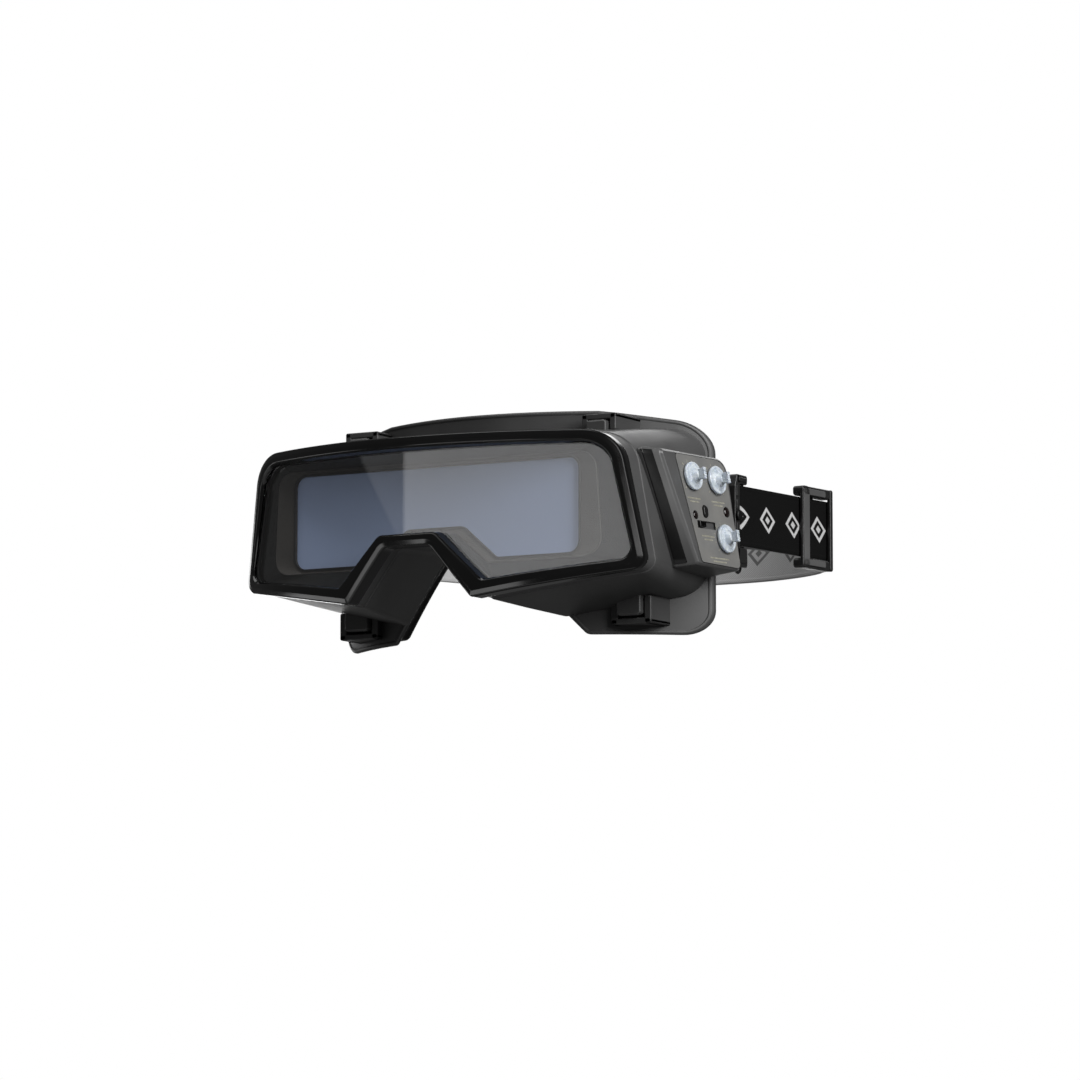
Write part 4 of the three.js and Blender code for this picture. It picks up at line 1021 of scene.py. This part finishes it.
def centripetal(points, steps):
    """A centripetal Catmull-Rom curve: knots spaced by the square root of each chord, then de Casteljau-like
    blends of neighbouring knots."""
    p = np.array(points, float)
    p = np.vstack([2 * p[0] - p[1], p, 2 * p[-1] - p[-2]])
    made = []
    for k in range(1, len(p) - 2):
        a, b, c, d = p[k - 1:k + 3]
        t0 = 0.0
        t1 = t0 + max(np.linalg.norm(b - a), 1e-4)**0.5
        t2 = t1 + max(np.linalg.norm(c - b), 1e-4)**0.5
        t3 = t2 + max(np.linalg.norm(d - c), 1e-4)**0.5
        t = np.linspace(t1, t2, steps, endpoint=False)[:, None]
        a1 = (t1 - t) / (t1 - t0) * a + (t - t0) / (t1 - t0) * b
        a2 = (t2 - t) / (t2 - t1) * b + (t - t1) / (t2 - t1) * c
        a3 = (t3 - t) / (t3 - t2) * c + (t - t2) / (t3 - t2) * d
        b1 = (t2 - t) / (t2 - t0) * a1 + (t - t0) / (t2 - t0) * a2
        b2 = (t3 - t) / (t3 - t1) * a2 + (t - t1) / (t3 - t1) * a3
        made.append((t2 - t) / (t2 - t1) * b1 + (t - t1) / (t2 - t1) * b2)
    return np.vstack([*made, p[-2:-1]])


def bar_turn(side):
    """Half a turn round the anchor's rear bar."""
    angle = np.linspace(math.pi, 2 * math.pi, 17)
    return np.stack([side * (BAR[0] + BAR[2] * np.cos(angle)), BAR[1] + BAR[2] * np.sin(angle)], 1)


def strap_path():
    """Plan path: the left fold, the turn round the left bar, straight through the slider, round the
    head, the turn round the right bar and its fold, at even steps of about 0.9."""
    start = np.array([BAR[0] + BAR[2], BAR[1]])
    straight = start + (np.array(HEAD_PATH[0]) - start) * np.linspace(0.08, 0.95, 30)[:, None]
    path = np.vstack([
        centripetal(LEFT_FOLD, 8)[:-1], bar_turn(1), straight, centripetal(HEAD_PATH, 14)[:-1],
        bar_turn(-1)[::-1], centripetal(RIGHT_FOLD, 8)[1:],
    ])
    length = np.concatenate([[0], np.cumsum(np.linalg.norm(np.diff(path, axis=0), axis=1))])
    even = np.arange(0, length[-1], 0.9)
    path = np.stack([np.interp(even, length, path[:, k]) for k in (0, 1)], 1)
    kernel = np.ones(5) / 5
    padded = np.pad(path, ((2, 2), (0, 0)), mode="edge")
    eased = np.stack([np.convolve(padded[:, k], kernel, "valid") for k in (0, 1)], 1)
    return eased, even


def strap():
    """A flat section with round edges carried along the plan path: outside, edge, inside, edge. Away
    from the hardware it bows outwards a little and waves sideways by two sines of its length."""
    path, along = strap_path()
    ahead = unit(np.gradient(path, axis=0))
    normal = np.stack([ahead[:, 1], -ahead[:, 0]], 1)
    count = 25
    share = np.linspace(-1, 1, count)
    half, thick = STRAP_WIDTH / 2, STRAP_THICK / 2
    lap = np.linspace(0, math.pi, 5)[1:-1]
    across = np.concatenate([share, 1 + 0 * lap, share[::-1], -1 + 0 * lap])
    edge = thick * 0.9
    face, bend = np.full(count, thick), thick * np.cos(lap)
    out = np.concatenate([face, bend, -face, -bend])
    rim = np.concatenate([0 * share, edge * np.sin(lap), 0 * share, -edge * np.sin(lap)])
    z = across * (half - edge) + rim
    bow = 0.25 * np.cos(across * math.pi / 2)
    free = np.clip(np.minimum(along - 75, along[-1] - 40 - along) / 60, 0, 1)
    wave = free * (0.7 * np.sin(along / 17.0) + 0.4 * np.sin(along / 7.3 + 1.0))
    offset_out = out[None] + wave[:, None] * (0.4 + 0.6 * across[None]) + free[:, None] * bow[None]
    xy = path[:, None] + normal[:, None] * offset_out[..., None]
    size = xy.shape[:2]
    height = np.broadcast_to(STRAP_Z + z[None], size)
    part = loft(np.concatenate([xy, height[..., None]], -1))
    keep = {
        "along": np.broadcast_to(along[:, None] * MM, size).ravel(),
        "across": np.broadcast_to(across[None], size).ravel(),
        "outside": np.broadcast_to((out > 0)[None].astype(float), size).ravel(),
    }
    return piece("strap_webbing", [part], WEBBING, "strap", ["strap"], attributes=keep)


PLATE_IN, PLATE_OUT = 98.3, 104.7
PIVOT = [0, 36.8, 1]


def anchor_parts(side):
    """A bracket: front plate with ribs and slots, rear bar in the strap's fold, and end blocks."""

    def block(corners, low, high, rim):
        return pillow(corners, low, high, rim, "x", side=side)

    plate = [[39.1, 19.5, 0.8], [39.1, -21.5, 0.8], [36.5, -21.5, 1.2], [34.5, -16, 1.5],
             [34.5, 14, 1.5], [36.5, 19.5, 1.2]]
    parts = [
        block(plate, PLATE_IN, PLATE_OUT, 0.5),
        block(oblong(36.8, 46, 15.3, 19.5, 1.2), PLATE_IN, PLATE_OUT, 0.5),
        block(oblong(36.8, 46, -21.5, -12.9, 1.2), PLATE_IN, PLATE_OUT, 0.5),
        block(oblong(42.4, 45.9, -13.5, 16, 0.9), 99.9, 103.1, 0.7),
    ]
    for low, high in ((9.5, 14.5), (3.6, 8.2), (-6.6, -2.0), (-12.2, -8.0)):
        parts.append(block(oblong(35.4, 38.2, low, high, 0.5), 104.3, 105.1, 0.3))
    for low in (-19.8, 16.4):
        parts.append(block(oblong(37.5, 45, low, low + 1.8, 0.5), 104.3, 105.2, 0.3))
    return parts


def hook_part(side):
    """A small open hook under the bracket: a round section carried round two thirds of a turn."""
    steps, radius, wire = 28, 2.3, 0.75
    angle = np.linspace(math.radians(-200), math.radians(40), steps)
    spoke = np.stack([np.zeros(steps), np.cos(angle), np.sin(angle)], 1)
    middle = np.array([side * 101.5, 42.5, -21.2]) + radius * spoke
    turn = np.linspace(0, 2 * math.pi, 12, endpoint=False)[None, :, None]
    across = np.array([side, 0, 0], float)
    return loft(middle[:, None] + wire * (np.cos(turn) * spoke[:, None] + np.sin(turn) * across))


def strap_hardware():
    profile = [[0.01, 94.9], [1.6, 94.9], [1.6, 105], [2.3, 105], [2.3, 105.9], [1.9, 106.2], [0.01, 106.2]]
    for name, side in (("left", 1), ("right", -1)):
        piece(f"strap_bracket_{name}", [*anchor_parts(side), hook_part(side)], BUCKLE, "strap",
              [f"strap_anchor_{name}"])
        standing = moved(lathe(profile, 32), [[0, 0, side], [0, 1, 0], [1, 0, 0]], PIVOT)
        piece(f"pivot_stud_{name}", [standing], STUD, "strap", [f"pivot_pin_{name}"])


def slider():
    """The strap's slider: two long rails, a bar at each end outside the strap and one inside it, with a
    paler C-shaped face on the outer side."""
    start = np.array([BAR[0] + BAR[2], BAR[1]])
    lean = (SLIDER_AT[0] - start[0]) / (SLIDER_AT[1] - start[1])
    turn = turned(math.atan(lean))
    origin = [start[0] + lean * (SLIDER_CENTRE - start[1]), SLIDER_CENTRE, STRAP_Z]
    half, tall, edge = 12.5, 18.5, STRAP_WIDTH / 2 + 0.6

    def placed(corners, low, high, rim=0.5):
        return moved(pillow(corners, low, high, rim, "x"), turn, origin)

    body = [
        placed(oblong(-half, half, edge, tall, 1.6), -2.6, 2.6, 0.7),
        placed(oblong(-half, half, -tall, -edge, 1.6), -2.6, 2.6, 0.7),
        placed(oblong(-half, -half + 5.6, -tall, tall, 1.8), 1.3, 3.1),
        placed(oblong(half - 2.4, half, -tall, tall, 1.1), 1.3, 3.2),
        placed(oblong(-3, 3, -tall + 1, tall - 1, 0.8), -3.4, -1.3),
    ]
    face = [
        placed(oblong(-half + 0.7, -half + 5.2, -tall + 1.2, tall - 1.2, 0.8), 2.8, 3.4, 0.2),
        placed(oblong(-half + 0.7, half - 6.5, edge + 0.4, tall - 1.2, 0.8), 2.3, 3.4, 0.2),
        placed(oblong(-half + 0.7, half - 6.5, -tall + 1.2, -edge - 0.4, 0.8), 2.3, 3.4, 0.2),
    ]
    made = piece("slider_frame", body, BUCKLE, "slider", ["strap_slider"])
    piece("slider_face", face, BUCKLE_FACE, "slider", ())
    return made


# ---- plain CAD pieces ----

CARRIED = {
    "liquid_crystal_cell": FILTER, "cartridge_case": INNER, "panel_label": LABEL_FILM,
    "shade_potentiometer": STEEL, "sensitivity_potentiometer": STEEL, "delay_potentiometer": STEEL,
    "control_board": BOARD, "low_battery_led": LED_LENS.material, "status_led": LED_LENS.material,
    "tact_switch": STEEL, "switch_body": STEEL, "flex_cable": FILM, "battery": STEEL,
    "pod_screw_left_upper": STEEL, "pod_screw_left_lower": STEEL,
    "pod_screw_right_upper": STEEL, "pod_screw_right_lower": STEEL,
}


def dress_carried_nodes():
    for name, finish in CARRIED.items():
        materials = nodes[name].data.materials
        materials.clear()
        materials.append(finish)


# ---- camera, stage and light ----

def set_camera():
    """A long lens from ahead, to the wearer's left and slightly below."""
    back = Vector((0.4966, -0.8601, -0.1167)).normalized()
    data = bpy.data.cameras.new("camera")
    data.lens, data.sensor_width = 185, 36
    data.clip_start, data.clip_end = 0.05, 50
    camera = bpy.data.objects.new("camera", data)
    aim, distance = Vector((0.0012, 0.0418, -0.0033)), 2.5
    camera.location = aim + back * distance
    camera.rotation_mode = "QUATERNION"
    camera.rotation_quaternion = (-back).to_track_quat("-Z", "Y")
    bpy.context.scene.collection.objects.link(camera)
    bpy.context.scene.camera = camera


def floor():
    """A plain pale floor, well below the goggles, which throws no light back up at them."""
    mesh = bpy.data.meshes.new("floor")
    size, low = 14.0, -0.42
    corners = [(x * size, y * size, low) for x, y in ((-1, -1), (1, -1), (1, 1), (-1, 1))]
    mesh.from_pydata(corners, [], [(0, 1, 2, 3)])
    made = Finish("pale floor", shade(232), 0.7)
    made.tones(shade(230), shade(236), 1.5)
    mesh.materials.append(made.material)
    obj = bpy.data.objects.new("floor", mesh)
    obj.visible_diffuse = obj.visible_glossy = False
    bpy.context.scene.collection.objects.link(obj)
    return obj


def hang(name, data, centre, aim, roll=0.0, only=None):
    """A light of this data at a centre, facing an aim point. When only is given, it lights those objects
    alone."""
    light = bpy.data.objects.new(name, data)
    towards = Vector(aim) - Vector(centre)
    light.location = centre
    light.rotation_mode = "QUATERNION"
    light.rotation_quaternion = towards.to_track_quat("-Z", "Y") @ Quaternion((0, 0, 1), math.radians(roll))
    light.visible_camera = False
    bpy.context.scene.collection.objects.link(light)
    if only:
        group = bpy.data.collections.new(name + " receivers")
        for obj in only:
            group.objects.link(obj)
        light.light_linking.receiver_collection = group


def card(name, centre, aim, width, height, radiance, roll=0.0, only=None):
    """A soft rectangular light with an even radiance."""
    data = bpy.data.lights.new(name, "AREA")
    data.shape, data.size, data.size_y = "RECTANGLE", width, height
    data.energy = radiance * math.pi * width * height
    hang(name, data, centre, aim, roll, only)


def floor_light(ground):
    """An even wash from straight above that only the floor receives."""
    data = bpy.data.lights.new("floor wash", "SUN")
    data.energy, data.angle = 3.9, 1.2
    hang("floor wash", data, (0, 0, 3), (0, 0.01, 0), only=[ground])


def surroundings():
    """White to the eye, a soft grey studio to every surface."""
    world = bpy.data.worlds.new("studio")
    bpy.context.scene.world = world
    world.use_nodes = True
    tree = world.node_tree
    tree.nodes.clear()
    seen, felt = tree.nodes.new("ShaderNodeBackground"), tree.nodes.new("ShaderNodeBackground")
    for background in (seen, felt):
        background.inputs["Color"].default_value = (1, 1, 1, 1)
    felt.inputs["Strength"].default_value = 0.1
    which, mix = tree.nodes.new("ShaderNodeLightPath"), tree.nodes.new("ShaderNodeMixShader")
    out = tree.nodes.new("ShaderNodeOutputWorld")
    tree.links.new(which.outputs["Is Camera Ray"], mix.inputs[0])
    tree.links.new(felt.outputs[0], mix.inputs[1])
    tree.links.new(seen.outputs[0], mix.inputs[2])
    tree.links.new(mix.outputs[0], out.inputs[0])


def lights(rim, lens, filter_plate, pieces, ground):
    """The studio's cards. Some light only the pieces named in their last value."""
    middle = (0, 0.03, 0)
    others = [obj for obj in pieces if obj != rim]
    card("side softbox", (2.0, -0.6, 0.9), middle, 1.4, 1.4, 9.5, only=others)
    card("rim side card", (2.0, -0.6, 0.9), middle, 1.4, 1.4, 2.6, only=[rim])
    card("top softbox", (-0.2, -0.6, 2.0), middle, 2.2, 1.2, 2.6)
    card("rear fill", (-0.5, 2.3, 1.3), middle, 1.2, 0.8, 2.6)
    card("under card", (0.1, -0.5, -1.6), middle, 2.4, 1.6, 0.5, only=pieces)
    card("backdrop", (-1.35, 2.1, 0.05), middle, 3.2, 0.7, 2.8)
    floor_light(ground)
    card("rim card left", (-1.5, -0.6, -0.6), middle, 1.0, 0.6, 2.2, only=[rim])
    card("rim card front", (-0.25, -1.4, -0.5), middle, 1.0, 0.6, 2.2, only=[rim])
    card("filter fill", (0.3, -1.6, 0.0), middle, 1.0, 1.0, 0.9, only=[filter_plate])
    card("lens card", (0.09, -1.5, 0.2), (0.09, 0, 0.2), 2.116, 1.2, 1.6, only=[lens])
    card("lens side card", (-1.12, -1.5, 0.62), (-1.12, 0, 0.62), 0.9, 0.8, 0.3, roll=-11.3, only=[lens])


scene = bpy.context.scene
scene.view_settings.view_transform = "Standard"
set_camera()
ground = floor()
surroundings()
dress_carried_nodes()
rim = front_frame()
lens = cover_lens()
lens_gasket()
housing_shell()
filter_bezel()
window_rim()
filter_plate = filter_plates()
inner_frame()
arc_sensors()
seal_carrier()
face_seal()
pods()
knobs()
dial_marks()
small_controls()
strap()
strap_hardware()
slider()
pieces = [obj for obj in scene.objects if obj.type == "MESH" and obj != ground]
lights(rim, lens, filter_plate, pieces, ground)
